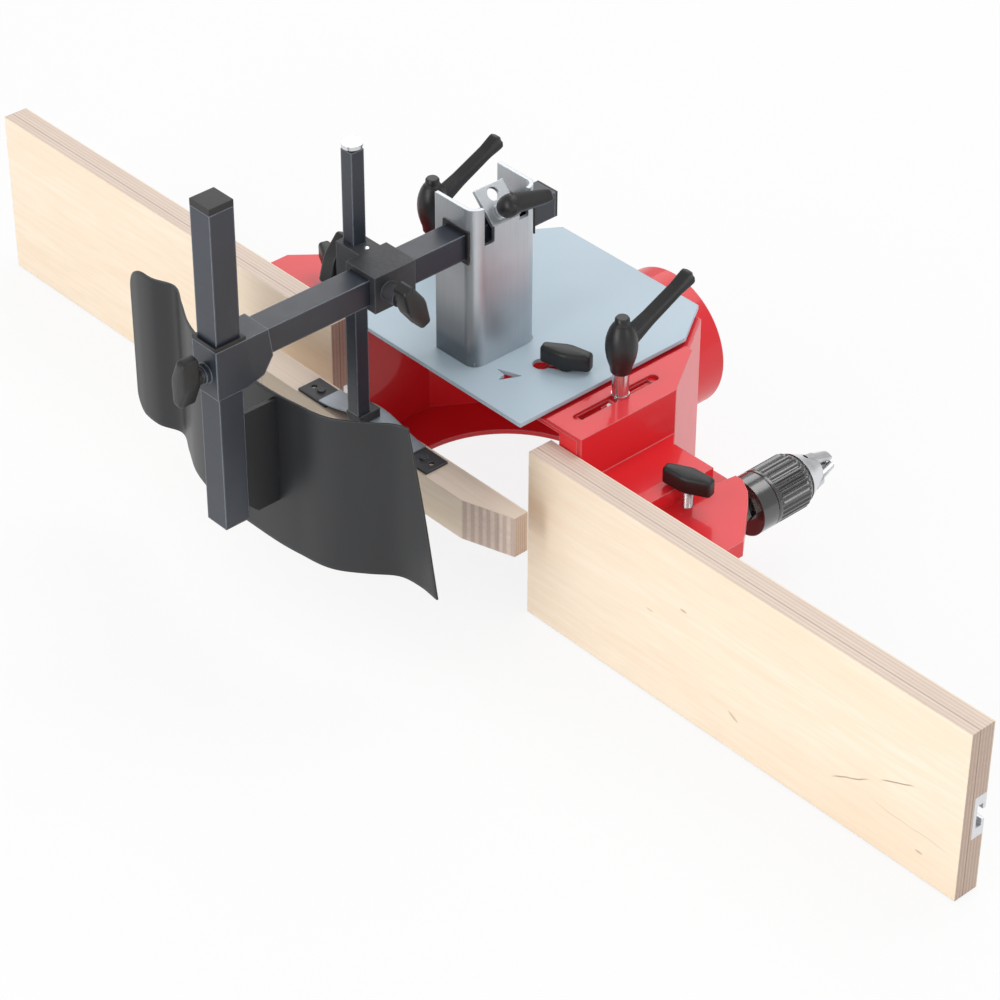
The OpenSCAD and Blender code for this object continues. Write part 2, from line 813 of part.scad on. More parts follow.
// The guard's outline seen from the front: one round corner and a slanting right end
module guard_outline() {
    r = 24;
    low_r = 14;
    left = guard_points[0][0];
    right = guard_points[len(guard_points) - 1][0];
    top = guard_low + guard_h;
    reach = 80;
    translate([0, -post_front + 1.5 * reach, 0]) rotate([90, 0, 0]) linear_extrude(2 * reach) union() {
        difference() {
            polygon([
                [left - 2, guard_low], [right + 1, guard_low],
                [guard_right_top, top], [left - 2, top]
            ]);
            translate([left - 3, top - r]) square([r + 3, r + 1]);
            translate([left - 3, guard_low - 1]) square([low_r + 3, low_r + 1]);
        }
        translate([left + r, top - r]) circle(r = r);
        translate([left + low_r, guard_low + low_r]) circle(r = low_r);
    }
}

module guard_sheet() {
    color([0.2, 0.2, 0.21]) intersection() {
        guard_strip();
        guard_outline();
    }
}

// Welded fin between the post and the guard sheet
module guard_fin() {
    back = -post_front + fin_reach - guard_t / 2;
    cut = 10;
    color([0.16, 0.17, 0.2])
    translate([bar_x + bar_half - 2 * fin_t, 0, 0]) rotate([90, 0, 90]) linear_extrude(fin_t) polygon([
        [fin_front, post_low + cut], [fin_front + cut, post_low], [back, post_low],
        [back, fin_top], [fin_front, fin_top]
    ]);
}

// Cast clamp that slides on the bar and holds the shoe's rod
module cross_clamp() {
    hole = bar_half + clamp_play;
    color([0.14, 0.14, 0.16])
    difference() {
        union() {
            block([bar_x - hole - cross_wall, cross_y0, bar_z - hole - cross_wall],
                  [cross_right, cross_y1, bar_z + hole + cross_wall]);
            block([cross_left, -rod_front - rod_w / 2 - cross_wall, bar_z - hole - cross_wall],
                  [bar_x - hole, -rod_front + rod_w / 2 + cross_wall, bar_z + hole + cross_wall]);
            rod_x_way(cross_right - 1, cross_right + bar_boss, bar_knob_y, bar_z, 7);
        }
        block([bar_x - hole, cross_y0 - eps, bar_z - hole], [bar_x + hole, cross_y1 + eps, bar_z + hole]);
        block([rod_left - run, -rod_front - rod_w / 2 - run, bar_z - 30],
              [rod_left + rod_w + run, -rod_front + rod_w / 2 + run, bar_z + 30]);
        rod_x_way(bar_x, cross_right + bar_boss + eps, bar_knob_y, bar_z, knob_screw_r + run);
        rod_x_way(cross_left - eps, rod_x, -rod_front, rod_knob_z, knob_screw_r + run);
        translate([set_screw_x, -rod_front, bar_z]) cylinder(r = 1.8, h = 30);
    }
}

// Small set screw in the clamp's top, between the rod and the bar
module clamp_set_screw() {
    color("silver") translate([set_screw_x, -rod_front, bar_z])
        cylinder(r = 1.8, h = bar_half + clamp_play + cross_wall + 0.4);
}

module bar_knob() {
    color([0.1, 0.1, 0.1])
    translate([cross_right + bar_boss + 2, bar_knob_y, bar_z]) rotate([0, 90, 0]) rotate([0, 0, 25])
        wing_knob(knob_screw_r, 12);
}

module bar_knob_screw() {
    color("silver")
    rod_x_way(bar_x + bar_half + slide, cross_right + bar_boss + 12, bar_knob_y, bar_z, knob_screw_r);
}

module rod_knob() {
    color([0.1, 0.1, 0.1])
    translate([cross_left - 1, -rod_front, rod_knob_z]) rotate([0, -90, 0]) rotate([0, 0, 28])
        wing_knob(knob_screw_r, 12);
}

module rod_knob_screw() {
    color("silver")
    rod_x_way(cross_left - 12, rod_left - slide, -rod_front, rod_knob_z, knob_screw_r);
}

// Square steel rod of the pressure shoe
module shoe_rod() {
    color([0.15, 0.15, 0.17])
    block([rod_left, -rod_front - rod_w / 2, foot_top], [rod_left + rod_w, -rod_front + rod_w / 2, rod_top]);
}

// Bright disc that stops the rod from dropping through the clamp
module rod_cap() {
    color("silver") translate([rod_x, -rod_front, rod_top]) {
        cylinder(r = 3, h = 2.5);
        translate([0, 0, 2]) cylinder(r = rod_w / 2 + 2, h = 3);
    }
}

// Block that joins the rod to the middle of the leaf spring
module foot_block() {
    color([0.12, 0.12, 0.12])
    block([rod_left - 1.5, -rod_front - rod_w / 2, shoe_top + leaf_rise],
          [rod_left + rod_w + 1.5, shoe_mid + 2, foot_top]);
}

// Bowed leaf spring, high in the middle and resting on the shoe's end plates
function leaf_z(x) = shoe_top + plate_t + 0.2
    + (leaf_rise - plate_t - 0.2 - leaf_t) * (1 + cos(180 * x / leaf_half)) / 2;

module leaf_spring() {
    xs = [for (i = [-13 : 13]) i * leaf_half / 13];
    color("lightgray")
    translate([rod_x, shoe_mid + leaf_w / 2, 0]) rotate([90, 0, 0]) linear_extrude(leaf_w)
        polygon(concat([for (x = xs) [x, leaf_z(x)]], [for (x = reversed(xs)) [x, leaf_z(x) + leaf_t]]));
}

// Plywood shoe with its front corners cut back
module pressure_shoe() {
    half = shoe_len / 2;
    color("burlywood")
    translate([rod_x - 0.5, 0, shoe_top - shoe_h]) linear_extrude(shoe_h) polygon([
        [-half + shoe_taper, shoe_front], [half - shoe_taper, shoe_front],
        [half, shoe_back - shoe_nib], [half, shoe_back],
        [-half, shoe_back], [-half, shoe_back - shoe_nib]
    ]);
}

// Two black plates that hold the spring's ends, each with a screw
module leaf_end_plates() {
    color([0.08, 0.08, 0.08])
    for (s = [-1, 1]) translate([rod_x, shoe_mid, shoe_top]) on_side(s) {
        difference() {
            block([plate_in, -leaf_w / 2, 0], [plate_in + plate_len, leaf_w / 2, plate_t]);
            translate([plate_in + 24, 0, -eps]) cylinder(r = 2.2, h = plate_t + 2 * eps);
        }
        translate([plate_in + 16, 0, plate_t - 0.3]) cylinder(r = 3, h = 2);
    }
}

// Plywood board with a groove for the rail in its rear face
module fence_board(s) {
    color("wheat") on_side(s) difference() {
        block([gap_half, 0, board_lift], [gap_half + board_len, board_t, board_h]);
        block([gap_half - eps, rail_front, rail_z - rail_w / 2],
              [gap_half + board_len + eps, board_t + eps, rail_z + rail_w / 2]);
    }
}

module left_board() {
    fence_board(-1);
}

module right_board() {
    fence_board(1);
}

// Aluminium rail with a channel for the bolt heads
module fence_rail(s) {
    x0 = gap_half;
    x1 = gap_half + board_len;
    head = rail_w / 2 - 8;
    color("silver") on_side(s) difference() {
        block([x0, rail_front, rail_z - rail_w / 2], [x1, board_t, rail_z + rail_w / 2]);
        block([x0 - eps, rail_front + rail_wall, rail_z - head], [x1 + eps, board_t - rail_lip, rail_z + head]);
        block([x0 - eps, board_t - rail_lip - eps, rail_z - rail_mouth / 2],
              [x1 + eps, board_t + eps, rail_z + rail_mouth / 2]);
    }
}

module left_rail() {
    fence_rail(-1);
}

module right_rail() {
    fence_rail(1);
}

// Folded carrier: slotted top flange, web beside the hood, shelf and step down to the seat
module carrier(s) {
    flange_in = web_out - flange_w;
    flange_rear = hood_front + flange_len;
    rear_out = web_out - (flange_rear - web_rear) * tan(slant);
    slot_r = stud_r + slide;
    color("crimson") on_side(s) difference() {
        union() {
            translate([0, 0, flange_z]) linear_extrude(flange_top - flange_z) polygon([
                [flange_in, carrier_front], [web_out, carrier_front], [web_out, web_rear],
                [max(rear_out, flange_in + 2), flange_rear], [flange_in, flange_rear]
            ]);
            block([web_in, carrier_front, shelf_z - sheet], [web_out, web_rear, flange_top]);
            translate([0, 0, shelf_z - sheet]) linear_extrude(sheet) polygon([
                [web_in, carrier_front], [step_x, carrier_front], [step_x, shelf_rear],
                [web_out + 9, shelf_rear], [web_out, web_rear], [web_in, web_rear]
            ]);
            block([step_x - sheet, carrier_front, seat_z], [step_x, shelf_rear, shelf_z]);
        }
        translate([lever_x, s > 0 ? 0 : left_slot_back, flange_z - eps]) {
            for (y = [slot_front + slot_r, slot_rear - slot_r]) translate([0, y, 0])
                cylinder(r = slot_r, h = flange_top - flange_z + 2 * eps);
            translate([-slot_r, slot_front + slot_r, 0])
                cube([2 * slot_r, slot_rear - slot_front - 2 * slot_r, flange_top - flange_z + 2 * eps]);
        }
    }
}

module left_carrier() {
    carrier(-1);
}

module right_carrier() {
    carrier(1);
}

// Thick seat plate under the carrier's step, with slanting rear corners
module seat(s) {
    color("crimson") on_side(s) difference() {
        translate([0, 0, seat_z - seat_t]) linear_extrude(seat_t) polygon([
            [seat_in, carrier_front], [seat_half, carrier_front],
            [seat_half, carrier_front + seat_side],
            [chuck_x + seat_corner[0], carrier_front + seat_side + seat_corner[1]],
            [chuck_x + seat_tip[0], carrier_front + seat_side + seat_tip[1]],
            [chuck_x + seat_nose, housing_rear], [chuck_x, housing_rear],
            [step_x + 3, shelf_rear], [seat_in, shelf_rear]
        ]);
        translate([seat_knob[0], seat_knob[1], seat_z - seat_t - eps])
            cylinder(r = knob_screw_r + run, h = seat_t + 2 * eps);
    }
}

module left_seat() {
    seat(-1);
}

module right_seat() {
    seat(1);
}

// Upright plate under the seat, bolted to the board's rail
module board_bracket(s) {
    color("crimson") on_side(s) difference() {
        block([skirt_half + 4, bracket_y, rail_z - plate_drop],
              [seat_half, bracket_y + bracket_plate, seat_z - seat_t]);
        for (k = [-0.5, 0.5])
            rod_y(bolt_mid_x + k * rail_bolt_gap, rail_z, bracket_y - eps,
                  bracket_y + bracket_plate + eps, rail_bolt_r);
    }
}

module left_board_bracket() {
    board_bracket(-1);
}

module right_board_bracket() {
    board_bracket(1);
}

// Two bolts with square heads in the rail and nuts behind the bracket
module rail_bolts(s) {
    head_half = rail_w / 2 - 8 - slide;
    head_y = rail_front + rail_wall + slide;
    nut_y = bracket_y + bracket_plate;
    color("silver") on_side(s)
    for (k = [-0.5, 0.5]) translate([bolt_mid_x + k * rail_bolt_gap, 0, rail_z]) {
        block([-head_half, head_y, -head_half], [head_half, head_y + head_t, head_half]);
        rod_y(0, 0, head_y + head_t - 0.5, nut_y + 8, rail_bolt_r);
        translate([0, nut_y, 0]) rotate([-90, 0, 0]) hexagon(7.4, 6.5);
    }
}

module left_rail_bolts() {
    rail_bolts(-1);
}

module right_rail_bolts() {
    rail_bolts(1);
}

// Wing knob on the seat, moulded on its screw
module seat_wing(s) {
    color([0.1, 0.1, 0.1]) on_side(s)
    translate([seat_knob[0], seat_knob[1], shelf_z - 1]) union() {
        rotate([0, 0, 16]) wing_knob(knob_screw_r / 2, 0.1);
        translate([0, 0, seat_z - shelf_z - seat_t + 2]) cylinder(r = knob_screw_r, h = shelf_z - seat_z + seat_t);
    }
}

module left_seat_knob() {
    seat_wing(-1);
}

module right_seat_knob() {
    seat_wing(1);
}

// Plastic clamp lever with a rising flat arm, at its stud
module clamp_handle(x, y) {
    arm_w = 11;
    foot_r = stud_r + 3.5;
    top_r = lever_r - 3;
    color([0.12, 0.12, 0.13])
    translate([x, y, lever_base]) difference() {
        union() {
            cylinder(r = foot_r, h = lever_foot);
            translate([0, 0, lever_foot]) cylinder(r1 = foot_r, r2 = lever_r, h = lever_swell);
            translate([0, 0, lever_foot + lever_swell]) cylinder(r = lever_r, h = lever_swell);
            translate([0, 0, lever_foot + 2 * lever_swell])
                cylinder(r1 = lever_r, r2 = top_r, h = lever_swell - 1);
            translate([0, 0, lever_h - 6]) cylinder(r = stud_r + 1.5, h = 6);
            translate([-arm_w / 2, 0, 0]) rotate([90, 0, 90]) linear_extrude(arm_w) polygon([
                [4, 17], [4, 31], [58, 57], [66, 55], [64, 45]
            ]);
        }
        translate([0, 0, -eps]) cylinder(r = stud_r + 2, h = lever_bore + eps);
    }
}

// Steel insert of a lever, with the blind bore that turns on the stud
module lever_insert(x, y) {
    low = flange_top + slide + 2 + slide;
    color("silver") translate([x, y, 0]) difference() {
        translate([0, 0, low]) cylinder(r = stud_r + 2, h = lever_base + lever_bore - low);
        translate([0, 0, low - eps]) cylinder(r = stud_r + run, h = lever_base + lever_bore - low - eps);
    }
}

module left_lever() {
    clamp_handle(-lever_x, hood_front + left_lever_back);
}

module left_lever_insert() {
    lever_insert(-lever_x, hood_front + left_lever_back);
}

module right_lever() {
    clamp_handle(lever_x, hood_front + right_lever_back);
}

module right_lever_insert() {
    lever_insert(lever_x, hood_front + right_lever_back);
}

// Bearing block under the right seat, with the arbor's bore
module arbor_housing() {
    color("crimson") difference() {
        block([chuck_x - housing_half, housing_rear - housing_len, seat_z - seat_t - housing_h],
              [chuck_x + housing_half, housing_rear, seat_z - seat_t]);
        rod_y(chuck_x, chuck_z, housing_rear - housing_len - eps, housing_rear + eps, arbor_r + run);
    }
}

// Arbor with its inner shoulder and its nut
module arbor() {
    color("silver") union() {
        rod_y(chuck_x, chuck_z, housing_rear - housing_len - 10, grip_front + 8, arbor_r);
        rod_y(chuck_x, chuck_z, housing_rear - housing_len - 9, housing_rear - housing_len - 0.4, arbor_r + 3);
        translate([chuck_x, housing_rear + 0.4, chuck_z]) rotate([-90, 0, 0]) hexagon(arbor_r + 5, 6.6);
    }
}

// Plain black collar next to the nut
module chuck_collar() {
    color([0.1, 0.1, 0.1]) difference() {
        rod_y(chuck_x, chuck_z, chuck_near, grip_front, chuck_r, $fn = 96);
        rod_y(chuck_x, chuck_z, chuck_near - eps, grip_front + eps, arbor_r);
    }
}

// Places what follows at a jaw, with its own axis along Z towards the tip
module at_jaw(k) {
    translate([chuck_x, jaw_tip, chuck_z]) rotate([-90, 0, 0]) rotate([0, 0, 120 * k + 30])
        translate([jaw_mid, 0, 0]) rotate([0, -jaw_tilt, 0]) children();
}

// Steel core and cone nose, with a bore for each jaw
module chuck_body() {
    color("silver") difference() {
        union() {
            rod_y(chuck_x, chuck_z, grip_front, nose_front + 1, core_r, $fn = 96);
            translate([chuck_x, nose_front, chuck_z]) rotate([-90, 0, 0])
                cylinder(r1 = core_r + 1, r2 = 11, h = nose_len, $fn = 96);
        }
        rod_y(chuck_x, chuck_z, grip_front - eps, grip_front + 8, arbor_r);
        for (k = [0 : 2]) at_jaw(k) translate([0, 0, -jaw_len - 13]) cylinder(r = jaw_r + jaw_play, h = 60);
    }
}

// Ribbed black sleeve that opens and closes the jaws
module chuck_sleeve() {
    color([0.1, 0.1, 0.1]) difference() {
        rod_y(chuck_x, chuck_z, grip_front + slide, nose_front - slide, chuck_r, $fn = 96);
        rod_y(chuck_x, chuck_z, grip_front - eps, nose_front + eps, core_r + slide, $fn = 96);
        for (k = [0 : rib_count - 1])
            translate([chuck_x, grip_front + 3, chuck_z]) rotate([-90, 0, 0]) rotate([0, 0, k * 360 / rib_count])
                translate([chuck_r + 0.4, 0, 0]) cylinder(r = 1.3, h = grip_len - 8, $fn = 16);
    }
}

// One of three round jaws, cut to a cone at the tip
module chuck_jaw(k) {
    color("gainsboro") intersection() {
        at_jaw(k) translate([0, 0, -jaw_len]) cylinder(r = jaw_r, h = jaw_len + 2);
        union() {
            rod_y(chuck_x, chuck_z, jaw_tip - 60, jaw_tip - jaw_reach, 30);
            translate([chuck_x, jaw_tip - jaw_reach - 0.5, chuck_z]) rotate([-90, 0, 0])
                cylinder(r1 = 11.5, r2 = 7.5, h = jaw_reach + 0.5);
        }
    }
}

module chuck_jaw_1() {
    chuck_jaw(0);
}

module chuck_jaw_2() {
    chuck_jaw(1);
}

module chuck_jaw_3() {
    chuck_jaw(2);
}

base_plate();
hood_shell();
dust_port();
hood_studs();
cover_plate();
bracket();
bracket_screws();
bar_bushes();
clamp_bush();
clamp_pad();
cover_knob();
clamp_lever();
clamp_screw();
arm();
arm_end_cap();
sleeve_rim();
post_knob();
post_knob_screw();
guard_post();
post_cap();
guard_fin();
guard_sheet();
cross_clamp();
clamp_set_screw();
bar_knob();
bar_knob_screw();
rod_knob();
rod_knob_screw();
shoe_rod();
rod_cap();
foot_block();
leaf_spring();
pressure_shoe();
leaf_end_plates();
left_board();
left_rail();
right_board();
right_rail();
left_carrier();
left_seat();
left_board_bracket();
left_rail_bolts();
left_seat_knob();
right_carrier();
right_seat();
right_board_bracket();
right_rail_bolts();
right_seat_knob();
left_lever();
left_lever_insert();
right_lever();
right_lever_insert();
arbor_housing();
arbor();
chuck_collar();
chuck_body();
chuck_sleeve();
chuck_jaw_1();
chuck_jaw_2();
chuck_jaw_3();
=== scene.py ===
import math

import bpy
import numpy as np
from mathutils import Matrix, Vector


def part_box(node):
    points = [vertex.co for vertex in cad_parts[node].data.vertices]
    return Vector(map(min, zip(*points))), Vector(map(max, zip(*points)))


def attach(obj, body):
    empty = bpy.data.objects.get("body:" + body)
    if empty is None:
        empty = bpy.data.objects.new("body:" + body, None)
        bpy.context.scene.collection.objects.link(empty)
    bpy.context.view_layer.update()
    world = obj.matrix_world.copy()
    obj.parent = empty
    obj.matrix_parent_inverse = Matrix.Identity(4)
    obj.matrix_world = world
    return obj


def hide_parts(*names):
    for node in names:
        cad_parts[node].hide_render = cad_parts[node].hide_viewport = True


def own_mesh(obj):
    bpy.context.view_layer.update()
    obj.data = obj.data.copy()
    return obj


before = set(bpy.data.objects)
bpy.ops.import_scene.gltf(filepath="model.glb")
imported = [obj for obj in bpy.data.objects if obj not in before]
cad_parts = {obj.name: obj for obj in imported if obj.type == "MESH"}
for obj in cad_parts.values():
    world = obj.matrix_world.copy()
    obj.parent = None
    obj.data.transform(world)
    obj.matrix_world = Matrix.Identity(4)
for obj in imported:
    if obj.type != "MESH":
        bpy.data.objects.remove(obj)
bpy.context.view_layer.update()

# ---------------------------------------------------------------- Camera
# The fence is seen from its right front corner, from well above the table, with a long lens,
# so that the long boards hardly taper.
camera = bpy.data.objects.new("camera", bpy.data.cameras.new("camera"))
bpy.context.scene.collection.objects.link(camera)
camera.data.lens = 121.84
camera.data.sensor_width = 36
camera.data.clip_start = 0.1
camera.data.clip_end = 30
camera_right = (0.672203, 0.740361, 0.002973)
camera_up = (-0.441172, 0.397326, 0.804673)
camera_back = (0.594567, -0.542216, 0.593710)
camera_spot = (1.49309, -1.29169, 1.49707)
camera.matrix_world = Matrix([
    [camera_right[k], camera_up[k], camera_back[k], camera_spot[k]] for k in range(3)
] + [[0, 0, 0, 1]])
bpy.context.scene.camera = camera
bpy.context.scene.view_settings.view_transform = "Standard"


# ---------------------------------------------------------------- Floor and studio light
# A plain pale sweep stands for the table. Large soft lamps and an even pale sky light the fence
# from the front, from above and from the right. One stands at the back left, where the upward
# faces mirror it, and a low one at the front lights the inside of the hood.
class Wire:
    """One output of a material's nodes, on which sums are written as Python."""

    def __init__(self, tree, socket):
        self.tree = tree
        self.socket = socket

    def node(self, kind, settings, values, out=0):
        """Adds one node: its settings first, then the values or links of its sockets."""
        made = self.tree.nodes.new("ShaderNode" + kind)
        for name, value in settings.items():
            if name == "stops":
                while len(made.color_ramp.elements) < len(value):
                    made.color_ramp.elements.new(0.5)
                for element, (place, colour) in zip(made.color_ramp.elements, value):
                    element.position = place
                    element.color = (*colour, 1)
            else:
                setattr(made, name, value)
        for name, value in values.items():
            if isinstance(value, Wire):
                self.tree.links.new(value.socket, made.inputs[name])
            else:
                made.inputs[name].default_value = value
        return Wire(self.tree, made.outputs[out]) if made.outputs else None

    def maths(self, operation, *terms):
        return self.node("Math", {"operation": operation}, dict(enumerate(terms)))

    def __add__(self, other):
        return self.maths("ADD", self, other)

    def __sub__(self, other):
        return self.maths("SUBTRACT", self, other)

    def __rsub__(self, other):
        return self.maths("SUBTRACT", other, self)

    def __mul__(self, other):
        return self.maths("MULTIPLY", self, other)

    def __truediv__(self, other):
        return self.maths("DIVIDE", self, other)

    __radd__ = __add__
    __rmul__ = __mul__

    def __abs__(self):
        return self.maths("ABSOLUTE", self)

    def step(self, low, high):
        """0 below low, 1 above high, and a smooth rise between."""
        return self.node("MapRange", {"interpolation_type": "SMOOTHSTEP"},
                         {0: self, 1: low, 2: high})

    def mix(self, a, b):
        """Colour a where this is 0 and colour b where it is 1."""
        a = (*a, 1) if isinstance(a, tuple) else a
        b = (*b, 1) if isinstance(b, tuple) else b
        return self.node("Mix", {"data_type": "RGBA"}, {0: self, 6: a, 7: b}, 2)


def new_material(name):
    """An empty material, with a wire that gives the place on the piece in metres."""
    made = bpy.data.materials.new(name)
    made.use_nodes = True
    tree = made.node_tree
    tree.nodes.clear()
    place = tree.nodes.new("ShaderNodeTexCoord")
    return made, Wire(tree, place.outputs["Object"])


def stretched(place, size, turn=(0, 0, 0)):
    """The place, turned and scaled, so that a pattern is long one way and short another."""
    return place.node("Mapping", {}, {"Vector": place, "Rotation": turn, "Scale": size})


def noise(place, scale, detail=3.0, rough=0.5, twist=0.0):
    """Smooth noise from 0 to 1, so many waves to the metre."""
    return place.node("TexNoise", {}, {
        "Vector": place, "Scale": scale, "Detail": detail, "Roughness": rough, "Distortion": twist
    })


def parts_of(place):
    """The three coordinates, each as a number."""
    split = place.node("SeparateXYZ", {}, {0: place})
    outputs = split.socket.node.outputs
    return [Wire(place.tree, outputs[k]) for k in range(3)]


def cover(node_or_piece, material):
    """Every material slot of a CAD node or of a new piece gets this material."""
    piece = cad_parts[node_or_piece] if isinstance(node_or_piece, str) else node_or_piece
    if not piece.material_slots:
        piece.data.materials.append(material)
    for each in piece.material_slots:
        each.material = material


floor_colour = (0.86, 0.86, 0.86)
floor_half, floor_z = 6, -0.0006
# How much of its own white glow the floor shows to the camera and in mirroring metal
floor_glow = 0.86
# The sky's strength as a light. The camera itself sees plain white.
sky_light = 0.62
fence_middle = (0, 0, 0.1)
floor_mesh = bpy.data.meshes.new("floor")
floor_mesh.from_pydata(
    [(-floor_half, -floor_half, floor_z), (floor_half, -floor_half, floor_z),
     (floor_half, floor_half, floor_z), (-floor_half, floor_half, floor_z)], [], [(0, 1, 2, 3)])
floor = bpy.data.objects.new("floor", floor_mesh)
bpy.context.scene.collection.objects.link(floor)
floor_finish, place = new_material("pale floor")
matt = place.node("BsdfDiffuse", {}, {"Color": (*floor_colour, 1)})
glow = place.node("Emission", {}, {"Color": (1, 1, 1, 1), "Strength": 1.0})
path = place.tree.nodes.new("ShaderNodeLightPath")
rays = [Wire(place.tree, path.outputs["Is " + ray + " Ray"])
        for ray in ("Camera", "Glossy", "Transmission")]
seen = rays[0].maths("MAXIMUM", rays[0], rays[1].maths("MAXIMUM", rays[1], rays[2]))
pale = place.node("MixShader", {}, {0: seen * floor_glow, 1: matt, 2: glow})
place.node("OutputMaterial", {}, {0: pale})
cover(floor, floor_finish)

sky = bpy.data.worlds.new("sky")
sky.use_nodes = True
sky.node_tree.nodes.clear()
path = sky.node_tree.nodes.new("ShaderNodeLightPath")
seen = Wire(sky.node_tree, path.outputs["Is Camera Ray"])
dim = seen.node("Background", {}, {"Color": (1, 1, 1, 1), "Strength": sky_light})
white = seen.node("Background", {}, {"Color": (1, 1, 1, 1), "Strength": 1.0})
seen.node("OutputWorld", {}, {0: seen.node("MixShader", {}, {0: seen, 1: dim, 2: white})})
bpy.context.scene.world = sky


def soft_lamp(name, spot, aim, size, watts):
    """A square lamp of that size in metres, hung at a spot and turned to face its aim."""
    lamp = bpy.data.lights.new(name, "AREA")
    lamp.shape = "SQUARE"
    lamp.size = size
    lamp.energy = watts
    made = bpy.data.objects.new(name, lamp)
    made.location = spot
    made.rotation_mode = "QUATERNION"
    made.rotation_quaternion = (Vector(aim) - Vector(spot)).to_track_quat("-Z", "Y")
    bpy.context.scene.collection.objects.link(made)


soft_lamp("lamp_front", (-0.1, -2.7, 1.7), fence_middle, 1.6, 22)
soft_lamp("lamp_above", (0.3, 1.3, 2.5), fence_middle, 1.5, 21)
soft_lamp("lamp_right", (2.6, 0.3, 1.1), fence_middle, 1.0, 8)
soft_lamp("lamp_back", (-2.1, 1.9, 2.0), (0, 0, 0.15), 1.6, 15)
soft_lamp("lamp_low", (0.3, -2.3, 0.42), (0, 0.1, 0.08), 1.0, 15)

# ---------------------------------------------------------------- Red sheet steel
# The hood, its skirts, the folded carriers with their seats and brackets, the dust port and the
# bearing block are bent or welded from 3 mm sheet. They and the 4 mm base plate are powder
# coated in a glossy bright red.
paint_red = (0.76, 0.020, 0.028)
paint_pale = (0.79, 0.025, 0.036)
# A pinkish white, painted on the folds and edges of the red sheet as a highlight
fold_painted_highlight = (0.92, 0.42, 0.45)


def bevelled(place, radius):
    """The surface's direction, as if each edge were rounded by that radius."""
    return place.node("Bevel", {"samples": 4}, {"Radius": radius})


def arris(place, radius):
    """The rounded direction, and the nearness of an edge: 0 on the flat, 1 at a sharp edge."""
    rounded = bevelled(place, radius)
    flat = Wire(place.tree, place.tree.nodes.new("ShaderNodeNewGeometry").outputs["Normal"])
    straight = place.node("VectorMath", {"operation": "DOT_PRODUCT"}, {0: rounded, 1: flat}, 1)
    return rounded, (1 - straight).step(0.02, 0.22)


def bumped(place, rounded, height, strength, distance):
    """The rounded direction, roughened by a height from 0 to 1 over a distance in metres."""
    return place.node("Bump", {}, {
        "Strength": strength, "Distance": distance, "Height": height, "Normal": rounded
    })


def finished(place, values):
    """The material ends in one shader with these values."""
    place.node("OutputMaterial", {}, {0: place.node("BsdfPrincipled", {}, values)})


def red_coat(name, edge):
    """Glossy paint: a fine orange peel, slow changes of tone, and a painted highlight along folds
    and edges.
    """
    made, place = new_material(name)
    rounded, edge_wear_and_highlight = arris(place, edge)
    cloud = noise(place, 9, 3)
    patch = noise(place, 60, 4, 0.6)
    tone = cloud.step(0.3, 0.7).mix(paint_red, paint_pale)
    # Painted highlight: near an edge the red is paled towards a pinkish white
    tone = (edge_wear_and_highlight * (0.45 + patch * 0.4)).mix(tone, fold_painted_highlight)
    bump = bumped(place, rounded, noise(place, 420, 2), 0.08, 0.0006)
    finished(place, {
        "Base Color": tone, "Roughness": 0.34 + patch * 0.06, "Normal": bump,
        "Specular IOR Level": 0.30, "Coat Weight": 0.35, "Coat Roughness": 0.05
    })
    return made


sheet_red = red_coat("red coat on sheet", 0.0016)
for name in ("base_plate", "hood_shell", "left_carrier", "right_carrier", "left_seat", "right_seat",
             "left_board_bracket", "right_board_bracket", "arbor_housing"):
    cover(name, sheet_red)
cover("dust_port", red_coat("red coat on the port", 0.0012))

# ---------------------------------------------------------------- Cover plate
# A flat steel plate over the cutter, with a keyhole and an arrow-shaped sight hole. It is
# painted in a satin pale blue-grey that has worn a little at its edges.
cover_blue = (0.45, 0.56, 0.64)
cover_pale = (0.49, 0.595, 0.675)
cover_speck = (0.42, 0.51, 0.59)
cover_bare = (0.30, 0.34, 0.38)
cover_paint, place = new_material("pale blue satin paint")
rounded, edge_wear_and_highlight = arris(place, 0.0009)
cloud = noise(place, 7, 3)
speck = noise(place, 260, 3, 0.6)
tone = cloud.step(0.3, 0.7).mix(cover_blue, cover_pale)
tone = (speck.step(0.60, 0.78) * 0.25).mix(tone, cover_speck)
tone = (edge_wear_and_highlight * 0.55).mix(tone, cover_bare)
bump = bumped(place, rounded, speck, 0.12, 0.0004)
finished(place, {"Base Color": tone, "Roughness": 0.40 + speck * 0.12, "Normal": bump})
cover("cover_plate", cover_paint)

# ---------------------------------------------------------------- Bracket
# The bracket is one piece of 3 mm sheet, folded to a U with rounded bends and zinc plated. The
# grain of the rolled sheet runs up and down, and it mirrors its surroundings softly. Its front
# flange is painted darker towards the foot, as a painted reflection of a dark table before it.
bracket_zinc = (0.50, 0.53, 0.56)
bracket_pale = (0.60, 0.63, 0.66)
bracket_streak = (0.34, 0.36, 0.38)
bracket_painted_reflection = (0.13, 0.14, 0.155)
bracket_edge = (0.86, 0.88, 0.90)
bracket_steel, place = new_material("brushed zinc on steel")
rounded, edge_wear_and_highlight = arris(place, 0.0008)
streak = noise(stretched(place, (60, 60, 1.5)), 12, 4, 0.6)
cloud = noise(place, 14, 3)
tone = cloud.step(0.3, 0.7).mix(bracket_zinc, bracket_pale)
tone = (streak.step(0.5, 0.8) * 0.3).mix(tone, bracket_streak)
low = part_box("bracket")[0]
y, z = parts_of(place)[1:]
# Painted reflection: the front flange is darkened towards its foot, as if it mirrored a dark table
front = 1 - y.step(low.y + 0.003, low.y + 0.010)
foot = 1 - z.step(low.z + 0.012, low.z + 0.075)
tone = (front * foot * 0.8).mix(tone, bracket_painted_reflection)
tone = (edge_wear_and_highlight * 0.6).mix(tone, bracket_edge)
bump = bumped(place, rounded, streak, 0.10, 0.0003)
finished(place, {
    "Base Color": tone, "Metallic": 0.85, "Roughness": 0.30 + streak * 0.14, "Normal": bump
})
cover("bracket", bracket_steel)

